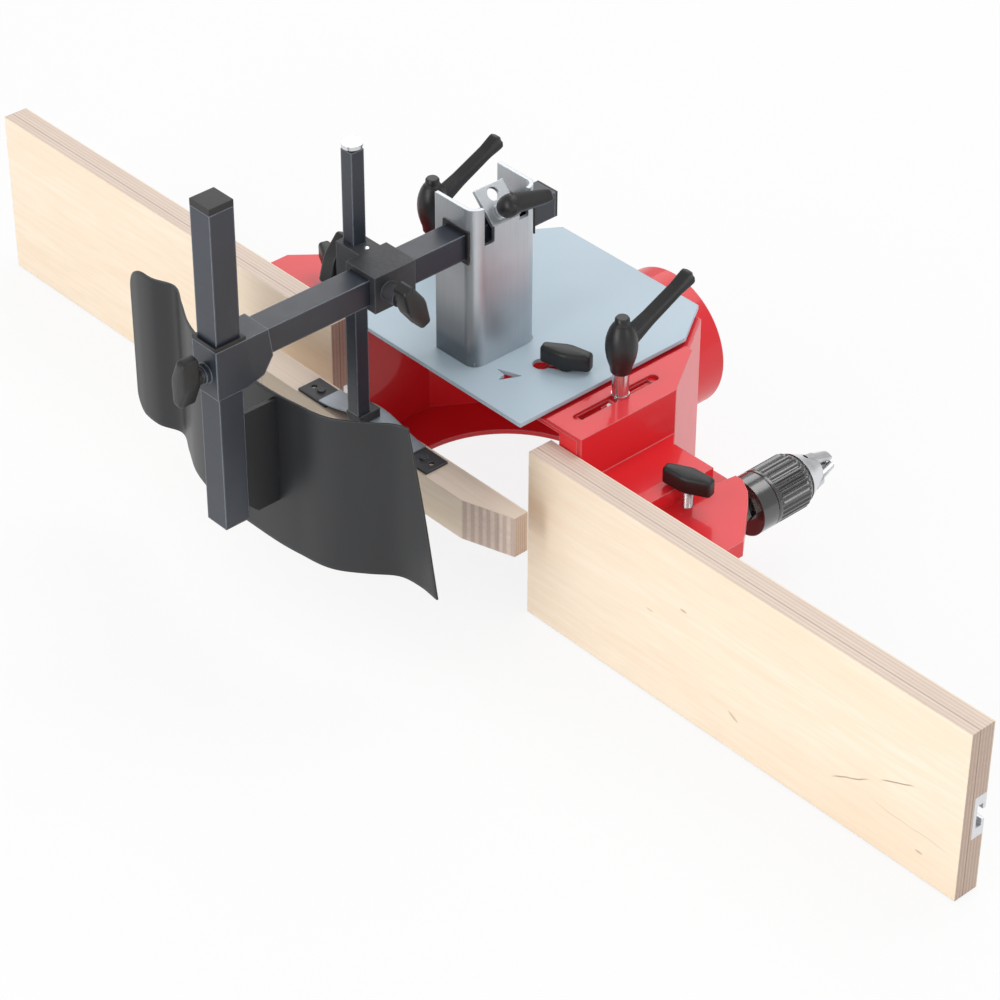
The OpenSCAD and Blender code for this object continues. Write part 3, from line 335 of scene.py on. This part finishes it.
# ---------------------------------------------------------------- Screws, studs and arbor
# Bought screws, nuts, studs and collars with a bright zinc plating, and the arbor turned from
# bright bar.
bright = (0.70, 0.71, 0.73)
bright_edge = (0.88, 0.89, 0.90)


def bright_metal(name, base, rough, edge):
    """Plated or turned metal: fine turning lines, faint stains and clean bright edges."""
    made, place = new_material(name)
    rounded, edge_wear_and_highlight = arris(place, edge)
    lines = noise(stretched(place, (1, 25, 8)), 90, 2)
    stain = noise(place, 70, 4, 0.6)
    dark = tuple(value * 0.62 for value in base)
    tone = (stain.step(0.5, 0.8) * 0.5).mix(base, dark)
    tone = (edge_wear_and_highlight * 0.7).mix(tone, bright_edge)
    bump = bumped(place, rounded, lines, 0.12, 0.0002)
    finished(place, {
        "Base Color": tone, "Metallic": 1.0, "Roughness": rough + stain * 0.15, "Normal": bump
    })
    return made


bright_steel = bright_metal("bright plated steel", bright, 0.16, 0.0004)
for name in ("hood_studs", "bracket_screws", "clamp_screw", "post_knob_screw", "clamp_set_screw",
             "bar_knob_screw", "rod_knob_screw", "rod_cap", "left_rail_bolts", "right_rail_bolts",
             "left_lever_insert", "right_lever_insert", "arbor", "chuck_body"):
    cover(name, bright_steel)

# ---------------------------------------------------------------- Bar, post and rod
# The guard's bar and post are square tube, and the shoe's rod is square bar. They carry a satin
# black coat with a blue sheen that has rubbed off along the long edges.
tube_black = (0.018, 0.023, 0.034)
tube_pale = (0.028, 0.034, 0.048)
tube_scuff = (0.07, 0.08, 0.10)
tube_bare = (0.42, 0.47, 0.53)
tube_coat, place = new_material("satin black coat")
rounded, edge_wear_and_highlight = arris(place, 0.0018)
cloud = noise(place, 12, 4, 0.6)
scuff = noise(stretched(place, (1, 1, 3)), 80, 4, 0.65)
tone = cloud.step(0.3, 0.75).mix(tube_black, tube_pale)
tone = (scuff.step(0.62, 0.80) * 0.25).mix(tone, tube_scuff)
tone = (edge_wear_and_highlight * (0.45 + scuff * 0.5)).mix(tone, tube_bare)
bump = bumped(place, rounded, scuff, 0.12, 0.0005)
finished(place, {"Base Color": tone, "Roughness": 0.26 + scuff * 0.16, "Normal": bump})
for name in ("arm", "guard_post", "shoe_rod"):
    cover(name, tube_coat)

# ---------------------------------------------------------------- Guard sheet
# A bowed sheet of thin steel with a matt black coat. Its face has a faint vertical shading from
# rolling, and the cut edges show as thin pale lines.
guard_black = (0.009, 0.0095, 0.011)
guard_pale = (0.015, 0.016, 0.018)
guard_edge = (0.30, 0.33, 0.35)
guard_coat, place = new_material("matt black on thin sheet")
rounded, edge_wear_and_highlight = arris(place, 0.0006)
cloud = noise(stretched(place, (1, 1, 0.25)), 16, 3)
grit = noise(place, 900, 2)
tone = cloud.step(0.3, 0.7).mix(guard_black, guard_pale)
tone = (edge_wear_and_highlight * 0.55).mix(tone, guard_edge)
bump = bumped(place, rounded, grit, 0.10, 0.0003)
finished(place, {"Base Color": tone, "Roughness": 0.36 + cloud * 0.12, "Normal": bump})
cover("guard_fin", guard_coat)
# The bends seen from above, as x and y in mm, turned into metres
guard_bends = np.array([
    (-185, -118), (-170, -121.5), (-155, -122), (-136, -116), (-115, -126), (-94, -137),
    (-64, -145), (-14, -147.6), (31, -145), (64, -137), (81, -124), (96, -111), (114, -107.5),
    (134, -109)]) / 1000
guard_low, guard_top = 0.084, 0.210
guard_slant_top = 0.105
guard_round_top, guard_round_low = 0.024, 0.014
guard_thick = 0.0015


def guard_surface(columns, rows):
    """The sheet's middle: x runs along the bends and z from the lower to the upper edge.

    y(x) is a cubic curve through the bends. The right edge slants from the last bend to
    guard_slant_top, and at the left end both edges are drawn in by quarter circles.
    """
    along, up = np.meshgrid(np.linspace(0, 1, columns), np.linspace(0, 1, rows), indexing="ij")
    left, right = guard_bends[0, 0], guard_bends[-1, 0]
    end = right + (guard_slant_top - right) * up
    x = left + (end - left) * (1 - np.cos(along * np.pi * 0.5)) ** 0.85
    top_in = np.clip(guard_round_top - (x - left), 0, None)
    low_in = np.clip(guard_round_low - (x - left), 0, None)
    top = guard_top - guard_round_top + np.sqrt(guard_round_top ** 2 - top_in ** 2)
    low = guard_low + guard_round_low - np.sqrt(guard_round_low ** 2 - low_in ** 2)
    z = low + (top - low) * up
    slope = np.gradient(guard_bends[:, 1], guard_bends[:, 0])
    k = np.clip(np.searchsorted(guard_bends[:, 0], x) - 1, 0, len(guard_bends) - 2)
    before, after = guard_bends[k], guard_bends[k + 1]
    span = after[..., 0] - before[..., 0]
    t = (x - before[..., 0]) / span
    y = (before[..., 1] * (1 + 2 * t) * (1 - t) ** 2 + after[..., 1] * t * t * (3 - 2 * t)
         + span * (slope[k] * t * (1 - t) ** 2 - slope[k + 1] * t * t * (1 - t)))
    return np.stack([x, y, z], axis=-1)


sharp_from = math.radians(38)


def new_piece(name, points, faces, material, body, slot, *nodes):
    """A smooth piece from points and faces, which rides on a body and stands for CAD nodes."""
    mesh = bpy.data.meshes.new(name)
    mesh.from_pydata(points.tolist(), [], faces)
    mesh.shade_smooth()
    mesh.set_sharp_from_angle(angle=sharp_from)
    piece = bpy.data.objects.new(name, mesh)
    bpy.context.scene.collection.objects.link(piece)
    cover(piece, material)
    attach(piece, body)
    if nodes:
        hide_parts(*nodes)
    return piece


sheet = guard_surface(columns=150, rows=40)
here = np.arange(sheet.shape[0] * sheet.shape[1]).reshape(sheet.shape[:2])
quads = np.stack([here[:-1, :-1], here[1:, :-1], here[1:, 1:], here[:-1, 1:]], axis=-1)
bowed = new_piece("bowed_sheet", sheet.reshape(-1, 3), quads.reshape(-1, 4).tolist(), guard_coat,
                  "guard", "guard_black", "guard_sheet")
wall = bowed.modifiers.new("wall", "SOLIDIFY")
wall.thickness = guard_thick
wall.offset = 0
rim = bowed.modifiers.new("rim", "BEVEL")
rim.width = guard_thick * 0.3
rim.segments = 2
rim.limit_method = "ANGLE"
rim.angle_limit = math.radians(50)

# ---------------------------------------------------------------- Cast clamp, foot and end plates
# The sliding clamp is a small casting, and the foot and the spring's end plates are cut from
# thick bar. All are blackened, with a slightly rough skin.
cast_black = (0.022, 0.023, 0.026)
cast_pale = (0.046, 0.048, 0.054)
cast_edge = (0.26, 0.28, 0.31)
cast_coat, place = new_material("black cast iron")
rounded, edge_wear_and_highlight = arris(place, 0.0012)
skin = noise(place, 340, 3, 0.6)
cloud = noise(place, 22, 4)
tone = cloud.step(0.3, 0.8).mix(cast_black, cast_pale)
tone = (edge_wear_and_highlight * 0.45).mix(tone, cast_edge)
bump = bumped(place, rounded, skin, 0.25, 0.0005)
finished(place, {"Base Color": tone, "Roughness": 0.40 + skin * 0.2, "Normal": bump})
for name in ("cross_clamp", "foot_block", "leaf_end_plates"):
    cover(name, cast_coat)

# ---------------------------------------------------------------- Plastic caps and bushes
# Small mouldings of plain black plastic: the bushes round the bar, the sleeve's rim, the pad
# under the clamp screw and the caps in the tubes' ends.
moulded = (0.0075, 0.0075, 0.008)
moulded_pale = (0.014, 0.014, 0.015)
moulded_edge = (0.09, 0.09, 0.10)


def black_plastic(name, grain, rough, edge, gloss=0.5, clear=0.0):
    """Moulded plastic: a fine even grain, slightly paler edges, and its gloss and clear skin."""
    made, place = new_material(name)
    rounded, edge_wear_and_highlight = arris(place, edge)
    spark = noise(place, grain, 2)
    cloud = noise(place, 30, 3)
    tone = cloud.step(0.3, 0.8).mix(moulded, moulded_pale)
    tone = (edge_wear_and_highlight * 0.5).mix(tone, moulded_edge)
    bump = bumped(place, rounded, spark, 0.22, 0.0003)
    finished(place, {
        "Base Color": tone, "Roughness": rough + cloud * 0.12, "Normal": bump,
        "Specular IOR Level": gloss, "Coat Weight": clear, "Coat Roughness": 0.12
    })
    return made


bush_black = black_plastic("black bush plastic", 700, 0.40, 0.0006)
for name in ("bar_bushes", "clamp_bush", "clamp_pad", "arm_end_cap", "sleeve_rim", "post_cap"):
    cover(name, bush_black)

# ---------------------------------------------------------------- Knobs and levers
# Six wing knobs, the two hood levers and the clamp lever are of glass-filled black plastic with a
# fine spark grain. The seat knobs show the threads of their screws.
knob_black = black_plastic("black knob plastic", 1100, 0.34, 0.0014)
around = np.linspace(0, 2 * np.pi, 96, endpoint=False) + 0.01
circle = np.stack([np.cos(around), np.sin(around)], axis=-1)
# The directions of a piece's own x, y and z when it is laid along an axis
axes = {
    "+z": ((1, 0, 0), (0, 1, 0), (0, 0, 1)),
    "-y": ((1, 0, 0), (0, 0, 1), (0, -1, 0)),
    "+x": ((0, 0, -1), (0, 1, 0), (1, 0, 0)),
    "-x": ((0, 0, 1), (0, 1, 0), (-1, 0, 0)),
}
wing_half, wing_end, wing_mid, wing_high = 0.019, 0.0048, 0.008, 0.013
seat_screw_r, seat_screw_in = 0.0038, 0.0005


def closed_shells(*stacks, bored=False):
    """Points and faces of closed shells. Each shell is a stack of rings of points: quads join a
    ring to the next one, and fans from their middle points close the first and last ring. In a
    bored shell quads join the last ring to the first one, as the wall of its bore."""
    points, faces, start = [], [], 0
    for rings in stacks:
        rows, count = rings.shape[:2]
        here = np.arange(rows * count).reshape(rows, count) + start
        after = np.roll(here, -1, axis=1)
        foot = start + rows * count
        points.append(rings.reshape(-1, 3))
        faces += np.stack([here[:-1], after[:-1], after[1:], here[1:]], -1).reshape(-1, 4).tolist()
        if bored:
            faces += np.stack([here[-1], after[-1], after[0], here[0]], axis=-1).tolist()
            start = foot
            continue
        points += [rings[:1].mean(axis=1), rings[-1:].mean(axis=1)]
        faces += np.stack([after[0], here[0], np.full(count, foot)], axis=-1).tolist()
        faces += np.stack([here[-1], after[-1], np.full(count, foot + 1)], axis=-1).tolist()
        start = foot + 2
    return np.concatenate(points), faces


def lifted(rings, z):
    """Flat rings of x and y, each lifted to its own height."""
    heights = np.broadcast_to(z[:, None, None], rings.shape[:2] + (1,))
    return np.concatenate([rings, heights], axis=-1)


def turned(profile):
    """A body of revolution about z: a ring of radius r at each height z of the profile."""
    z, r = np.array(profile).T
    return lifted(circle[None] * r[:, None, None], z)


def wing(hub_r, hub_high):
    """A round hub under a long hexagon with round corners.

    A ring of the hexagon is its inner corner that lies furthest in each direction, plus what is
    left of the corner radius in that direction. Insets follow quarter circles at both edges, and
    the last rings shrink to a slightly crowned top.
    """
    corner, low_edge, top_edge, hub_edge, crown = 0.0030, 0.0014, 0.0028, 0.0006, 0.0005
    x, end, y = wing_half - corner, wing_end - corner, wing_mid - corner
    corners = np.array([(x, end), (end, y), (-end, y), (-x, end),
                        (-x, -end), (-end, -y), (end, -y), (x, -end)])
    inner = corners[np.argmax(circle @ corners.T, axis=1)]
    sweep = np.linspace(0, np.pi / 2, 6)
    top = hub_high + wing_high
    insets = np.concatenate([low_edge * (1 - np.sin(sweep)), top_edge * (1 - np.cos(sweep))])
    heights = np.concatenate([hub_high + low_edge * (1 - np.cos(sweep)),
                              top - top_edge * (1 - np.sin(sweep))])
    rings = inner[None] + circle[None] * (corner - insets[:, None, None])
    shrink = np.array([0.85, 0.6, 0.3, 0.06])
    rings = np.concatenate([rings, rings[-1] * shrink[:, None, None]])
    heights = np.concatenate([heights, top + crown * (1 - shrink ** 2)])
    hub = turned([(0, hub_r - hub_edge), (hub_edge, hub_r), (hub_high, hub_r)])
    return np.concatenate([hub, lifted(rings, heights)])


def placed(rings, spot, axis, turn):
    """The rings turned about their own z by an angle in degrees, and laid along an axis."""
    c, s = math.cos(math.radians(turn)), math.sin(math.radians(turn))
    side, rise, out = np.array(axes[axis], dtype=float)
    return np.array(spot) + rings @ np.stack([c * side + s * rise, c * rise - s * side, out])


def threaded(radius, low, high, pitch=0.00125, depth=0.0006):
    """A screw about z: its radius waves with the height, and by one wave more in each turn."""
    z = np.linspace(low, high, int((high - low) / pitch * 6) + 2)
    wave = (z[:, None] / pitch - around[None] / (2 * np.pi)) % 1
    r = radius - depth * np.abs(2 * wave - 1)
    return lifted(circle[None] * r[..., None], z)


# Each row: a knob, its axis, the turn of its wings in degrees, and its hub's radius and height
for name, axis, turn, hub_r, hub_high in (
        ("cover_knob", "+z", 25, 0.0065, 0.0025), ("post_knob", "-y", 80, 0.006, 0.004),
        ("bar_knob", "+x", 25, 0.006, 0.004), ("rod_knob", "-x", 28, 0.006, 0.004),
        ("left_seat_knob", "+z", 164, 0.0050, 0.002), ("right_seat_knob", "+z", 16, 0.0050, 0.002)):
    low, high = (np.array(corner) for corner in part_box(name))
    out = np.array(axes[axis][2])
    foot = (low + high) / 2
    far = np.where(out > 0, high, low) - out * (hub_high + wing_high)
    foot = np.where(out != 0, far, foot)
    points, faces = closed_shells(placed(wing(hub_r, hub_high), foot, axis, turn))
    new_piece(name + "_wing", points, faces, knob_black, name, "knob_black", name)
    if "seat" in name:
        screw = threaded(seat_screw_r, low[2] - foot[2], seat_screw_in)
        points, faces = closed_shells(placed(screw, foot, axis, turn))
        new_piece(name + "_screw", points, faces, bright_steel, name, "bright_steel", name)


def lever_arm(start, end, halves, thicks, side, recess):
    """A flat arm along a line. Its section is a rounded box, |u|^6 + |v|^6 = 1, whose size
    changes along the arm, and a shallow recess runs along the middle of both sides."""
    steps = np.linspace(0, 1, 40)
    start, end, side = np.array(start), np.array(end), np.array(side)
    ahead = (end - start) / np.linalg.norm(end - start)
    rise = np.cross(ahead, side)
    power = 1 / 3
    u = np.sign(circle[:, 0]) * np.abs(circle[:, 0]) ** power
    v = np.sign(circle[:, 1]) * np.abs(circle[:, 1]) ** power
    hollow = np.clip((0.62 - np.abs(v)) / 0.16, 0, 1)
    u = u * (1 - recess * hollow * hollow * (3 - 2 * hollow))
    half = np.interp(steps, *halves)[:, None, None]
    thick = np.interp(steps, *thicks)[:, None, None]
    middle = start + (end - start) * steps[:, None]
    return middle[:, None] + u[None, :, None] * thick * side + v[None, :, None] * half * rise


# A hood lever's hub, as heights and radii in mm turned into metres, and its arm: the line of its
# middle from the foot, then steps along it with its half width and half thickness
lever_profile = np.array([
    (0, 6.9), (0.8, 7.5), (5, 8.1), (9, 9.5), (13, 10.6), (18, 11.4), (22, 11.6), (27, 11.3),
    (31, 10.4), (35, 9.0), (38, 7.4), (39.5, 6.3), (40.2, 5.4), (43.8, 5.2), (45, 4.3)]) / 1000
arm_start, arm_end, arm_side, arm_recess = (0, 0.004, 0.0235), (0, 0.0655, 0.0525), (1, 0, 0), 0.24
arm_halves = ((0, 0.1, 0.35, 0.78, 0.90, 0.955, 0.985, 1),
              (0.0075, 0.0062, 0.0046, 0.0043, 0.0056, 0.0060, 0.0053, 0.0035))
arm_thicks = ((0, 0.3, 0.85, 0.985, 1), (0.0052, 0.0048, 0.0046, 0.0046, 0.0032))
for name in ("left_lever", "right_lever"):
    low, high = (np.array(corner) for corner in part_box(name + "_insert"))
    foot = np.append((low[:2] + high[:2]) / 2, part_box(name)[0][2])
    arm = lever_arm(arm_start, arm_end, arm_halves, arm_thicks, arm_side, arm_recess)
    points, faces = closed_shells(foot + turned(lever_profile), foot + arm)
    new_piece(name + "_handle", points, faces, knob_black, name, "knob_black", name)

# The clamp lever's screw leans to the right, and its short arm points back and a little sideways
clamp_tilt = math.radians(45)
clamp_out = np.array([math.sin(clamp_tilt), 0, math.cos(clamp_tilt)])
clamp_side = np.array([math.cos(clamp_tilt), 0, -math.sin(clamp_tilt)])
clamp_turn = math.radians(11)
clamp_spot = np.array([0.0152, 0.052, 0.2777]) + 0.0065 * clamp_side
clamp_ahead = math.cos(clamp_turn) * np.array([0, 1, 0]) + math.sin(clamp_turn) * clamp_side
clamp_profile = np.array([(5.9, 6.6), (6.4, 7.3), (8, 7.8), (13, 8.0), (16.5, 7.5), (19, 6.3),
                          (20.6, 4.4), (21.2, 2)]) / 1000
clamp_arm_high, clamp_arm_long = 0.0150, 0.0335
clamp_steps = (0, 0.5, 0.85, 0.96, 1)
clamp_halves = (clamp_steps, (0.0070, 0.0058, 0.0048, 0.0040, 0.0025))
clamp_thicks = (clamp_steps, (0.0052, 0.0046, 0.0040, 0.0034, 0.0022))
hub = turned(clamp_profile) @ np.stack([clamp_side, np.array([0, 1, 0]), clamp_out]) + clamp_spot
start = clamp_spot + clamp_out * clamp_arm_high
arm = lever_arm(start, start + clamp_ahead * clamp_arm_long, clamp_halves, clamp_thicks,
                clamp_out, recess=0)
points, faces = closed_shells(hub, arm)
new_piece("clamp_lever_handle", points, faces, knob_black, "clamp_lever", "knob_black",
          "clamp_lever")

# ---------------------------------------------------------------- Leaf spring
# A strip of bright rolled spring steel with rolling lines along it. It is bowed up in its middle
# by a cosine wave. It would flatten towards the foot by the 6 mm that the shoe is pressed up, but
# here it keeps its full bow.
leaf_dark = (0.30, 0.34, 0.38)
leaf_pale = (0.38, 0.42, 0.46)
spring_steel, place = new_material("rolled spring steel")
lines = noise(stretched(place, (1, 60, 1)), 30, 3)
tone = lines.step(0.3, 0.7).mix(leaf_dark, leaf_pale)
bump = bumped(place, bevelled(place, 0.0003), lines, 0.1, 0.0002)
finished(place, {
    "Base Color": tone, "Metallic": 0.7, "Roughness": 0.42 + lines * 0.15, "Normal": bump
})
leaf_thick, shoe_travel = 0.0012, 0.006
low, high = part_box("leaf_spring")
leaf_middle = (low + high) / 2
along = np.linspace(-1, 1, 61)[:, None]
across = np.sign(circle) * np.abs(circle) ** (1 / 3)
bow = low.z + leaf_thick / 2 + (high.z - low.z - leaf_thick) * (1 + np.cos(np.pi * along)) / 2
rings = np.stack([
    leaf_middle.x + along * (high.x - low.x) / 2 + 0 * across[None, :, 0],
    leaf_middle.y + across[None, :, 0] * (high.y - low.y) / 2 + 0 * along,
    bow + across[None, :, 1] * leaf_thick / 2
], axis=-1)
points, faces = closed_shells(rings)
leaf = new_piece("bowed_leaf", points, faces, spring_steel, "shoe_rod", "spring_steel",
                 "leaf_spring")
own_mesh(leaf)

# ---------------------------------------------------------------- Plywood boards and shoe
# The boards and the shoe are birch plywood under clear lacquer. Thin plies lie parallel to the
# fence face, with their grain by turns along and up, so the edges show their layers. The right
# board's face has a few small knots and two hair cracks, each given by its place and size.
# The sawn ends are darkened by a painted shade, and the planed tops are paled by a painted light.
wood_face = (0.89, 0.735, 0.56)
wood_pale = (0.94, 0.81, 0.66)
wood_warm = (0.87, 0.69, 0.50)
wood_grain = (0.68, 0.49, 0.33)
wood_knot = (0.40, 0.25, 0.13)
wood_crack = (0.24, 0.15, 0.09)
wood_end = (0.52, 0.395, 0.33)
wood_end_pale = (0.62, 0.48, 0.41)
wood_side = (0.66, 0.53, 0.45)
wood_side_pale = (0.75, 0.61, 0.52)
wood_seam = (0.14, 0.10, 0.10)
wood_end_painted_shade = (0.36, 0.22, 0.14)
# Each row: x and z of its middle, half its length in metres, its slope and its strength
board_knots = ((0.2595, 0.0904, 0.0042, 0.0, 0.6), (0.228, 0.073, 0.004, 0.0, 0.3),
               (0.310, 0.0293, 0.006, -0.5, 0.5), (0.478, 0.021, 0.0045, 0.0, 0.6))
board_cracks = ((0.416, 0.044, 0.018, 0.5, 0.75), (0.4555, 0.0647, 0.016, 0.42, 0.8),
                (0.471, 0.0363, 0.040, -0.06, 0.22))


def plywood(name, low, high, plies, calm_and_painted_light, knots, cracks):
    """Plies of one thickness from the front; each second ply shows its darker end grain. The sawn
    ends carry a painted shade. calm makes the planed top plainer, and paler as a painted light."""
    made, place = new_material(name)
    rounded, edge_wear_and_highlight = arris(place, 0.0009)
    x, y, z = parts_of(place)
    wave = noise(place, 8, 2)
    thick = high.y - low.y
    layer = (y - low.y + (wave - 0.5) * 0.0005) * (plies / thick)
    turn = layer.maths("PINGPONG", layer, 1.0)
    top = z.step(high.z - 0.0004, high.z - 0.0002)
    second = turn.step(0.40, 0.60) * (1 - top * calm_and_painted_light)
    depth = y - low.y
    skin = 1 - abs(depth - thick).step(0.0009, 0.0013)
    seam = 1 - abs(depth - thick * 0.36).step(0.0002, 0.0005)
    along = noise(stretched(place, (3, 60, 34)), 6, 5, 0.6, 0.4)
    fine = noise(stretched(place, (8, 300, 190)), 6, 4, 0.6)
    broad = noise(stretched(place, (1.2, 8, 7)), 3, 3, 0.5, 0.8)
    face = along.step(0.25, 0.75).mix(wood_face, wood_pale)
    face = (broad.step(0.35, 0.75) * 0.45).mix(face, wood_warm)
    face = (fine.step(0.55, 0.75) * 0.10).mix(face, wood_grain)
    for spot_x, spot_z, half, rise, weight in knots:
        far = (x - spot_x) * (1 / half)
        off = (z - spot_z - (x - spot_x) * rise) * (3.4 / half)
        ring = (far * far + off * off + (along - 0.5) * 0.9).step(0.15, 1.0)
        face = ((1 - ring) * weight).mix(face, wood_knot)
    bend = noise(place, 24, 3)
    for spot_x, spot_z, half, rise, weight in cracks:
        off = z - spot_z - (x - spot_x) * rise - (bend - 0.5) * 0.009
        line = 1 - abs(off).step(0.0001, 0.0009)
        near = 1 - abs(x - spot_x).step(half * 0.5, half)
        face = (line * near * weight).mix(face, wood_crack)
    end = noise(stretched(place, (150, 8, 150)), 8, 4, 0.6)
    end_tone = end.step(0.3, 0.7).mix(wood_end, wood_end_pale)
    half_thick, half_long = thick * 0.5, (high.x - low.x) * 0.5
    outer = abs(depth - half_thick).step(half_thick - 0.0002, half_thick - 0.0001)
    edge = second.mix(along.step(0.3, 0.7).mix(wood_side, wood_side_pale), end_tone)
    edge = (seam * (0.95 - calm_and_painted_light)).mix(edge, wood_seam)
    edge = (skin * 0.9).mix(edge, wood_face)
    # Painted light: the planed top is paled towards the pale wood tone, lifting it out of its shade
    edge = (top * (calm_and_painted_light * 0.6)).mix(edge, wood_pale)
    # Painted shade: the sawn end faces at both ends are darkened towards a dark brown
    sawn = abs(x - (low.x + high.x) * 0.5).step(half_long - 0.0004, half_long - 0.0002)
    edge = (sawn * 0.42).mix(edge, wood_end_painted_shade)
    tone = outer.mix(edge, face)
    tone = (edge_wear_and_highlight * 0.35).mix(tone, wood_pale)
    height = along * 0.6 + fine * 0.4 - second * 0.25
    bump = bumped(place, rounded, height, 0.10, 0.0005)
    finished(place, {
        "Base Color": tone, "Roughness": 0.44 + fine * 0.2, "Normal": bump, "Coat Weight": 0.10,
        "Coat Roughness": 0.25
    })
    return made


# Each row: a piece, its number of plies, how calm its top is and how much it is paled as painted
# light, its knots and its cracks
for name, plies, calm_and_painted_light, knots, cracks in (
        ("left_board", 14, 0.3, (), ()),
        ("right_board", 14, 0.3, board_knots, board_cracks),
        ("pressure_shoe", 26, 0.75, (), ())):
    low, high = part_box(name)
    cover(name, plywood("birch plywood " + name, low, high, plies, calm_and_painted_light, knots, cracks))

# ---------------------------------------------------------------- Board rails
# An aluminium extrusion lies in a groove in each board's rear face. Its channel takes the heads
# of the bolts, and drawing lines run along it.
rail_dark = (0.66, 0.67, 0.69)
rail_pale = (0.80, 0.81, 0.83)
rail_alu, place = new_material("drawn aluminium")
lines = noise(stretched(place, (1, 90, 90)), 20, 3)
tone = lines.step(0.3, 0.7).mix(rail_dark, rail_pale)
bump = bumped(place, bevelled(place, 0.0004), lines, 0.12, 0.0002)
finished(place, {
    "Base Color": tone, "Metallic": 0.9, "Roughness": 0.28 + lines * 0.15, "Normal": bump
})
cover("left_rail", rail_alu)
cover("right_rail", rail_alu)

# ---------------------------------------------------------------- Drill chuck
# A keyless chuck: a plain collar and a ribbed sleeve of glossy black plastic on a steel core,
# and three ground jaws.
chuck_black = black_plastic("black chuck plastic", 500, 0.16, 0.0008, 1.0, 0.8)
cover("chuck_collar", chuck_black)
sleeve_ribs, rib_deep, sleeve_wall = 30, 0.0013, 0.0031


def ribbed_sleeve(low, high, radius):
    """A turned sleeve about y with rounded grooves: the radius is smaller by a wave of the angle,
    faded out near both ends, which are chamfered down to the bore."""
    wide = high - low
    place_y = np.array([0, 0, 0.0012, 0.0022, 0.0032, 0.0046, *np.linspace(0.006, wide - 0.008, 9),
                        wide - 0.0065, wide - 0.0055, wide - 0.0048, wide - 0.0005, wide])
    cut = np.array([sleeve_wall, 0.0016, 0.0002, 0, 0, 0, *np.zeros(9),
                    0, 0, 0.0001, 0.0029, sleeve_wall])
    angle = np.linspace(0, 2 * np.pi, sleeve_ribs * 8, endpoint=False)
    groove = np.clip(np.cos(angle * sleeve_ribs) * 1.6, -1, 1) * 0.5 + 0.5
    fade = np.interp(place_y, (0.0032, 0.0046, wide - 0.0065, wide - 0.0048, wide - 0.0005, wide),
                     (0, 1, 1, 0.2, 0.2, 0))
    r = radius - cut[:, None] - rib_deep * fade[:, None] * groove[None]
    y = np.broadcast_to(low + place_y[:, None], r.shape)
    return np.stack([r * np.sin(angle), y, r * np.cos(angle)], axis=-1)


low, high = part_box("chuck_sleeve")
chuck_axis = np.array([(low.x + high.x) / 2, 0, (low.z + high.z) / 2])
rings = ribbed_sleeve(low.y, high.y, (high.x - low.x) / 2) + chuck_axis
points, faces = closed_shells(rings, bored=True)
new_piece("ribbed_sleeve", points, faces, chuck_black, "chuck_sleeve", "chuck_black",
          "chuck_sleeve")
jaw_grey = (0.62, 0.63, 0.65)
jaw_steel = bright_metal("ground jaw steel", jaw_grey, 0.22, 0.0003)
for name in ("chuck_jaw_1", "chuck_jaw_2", "chuck_jaw_3"):
    cover(name, jaw_steel)
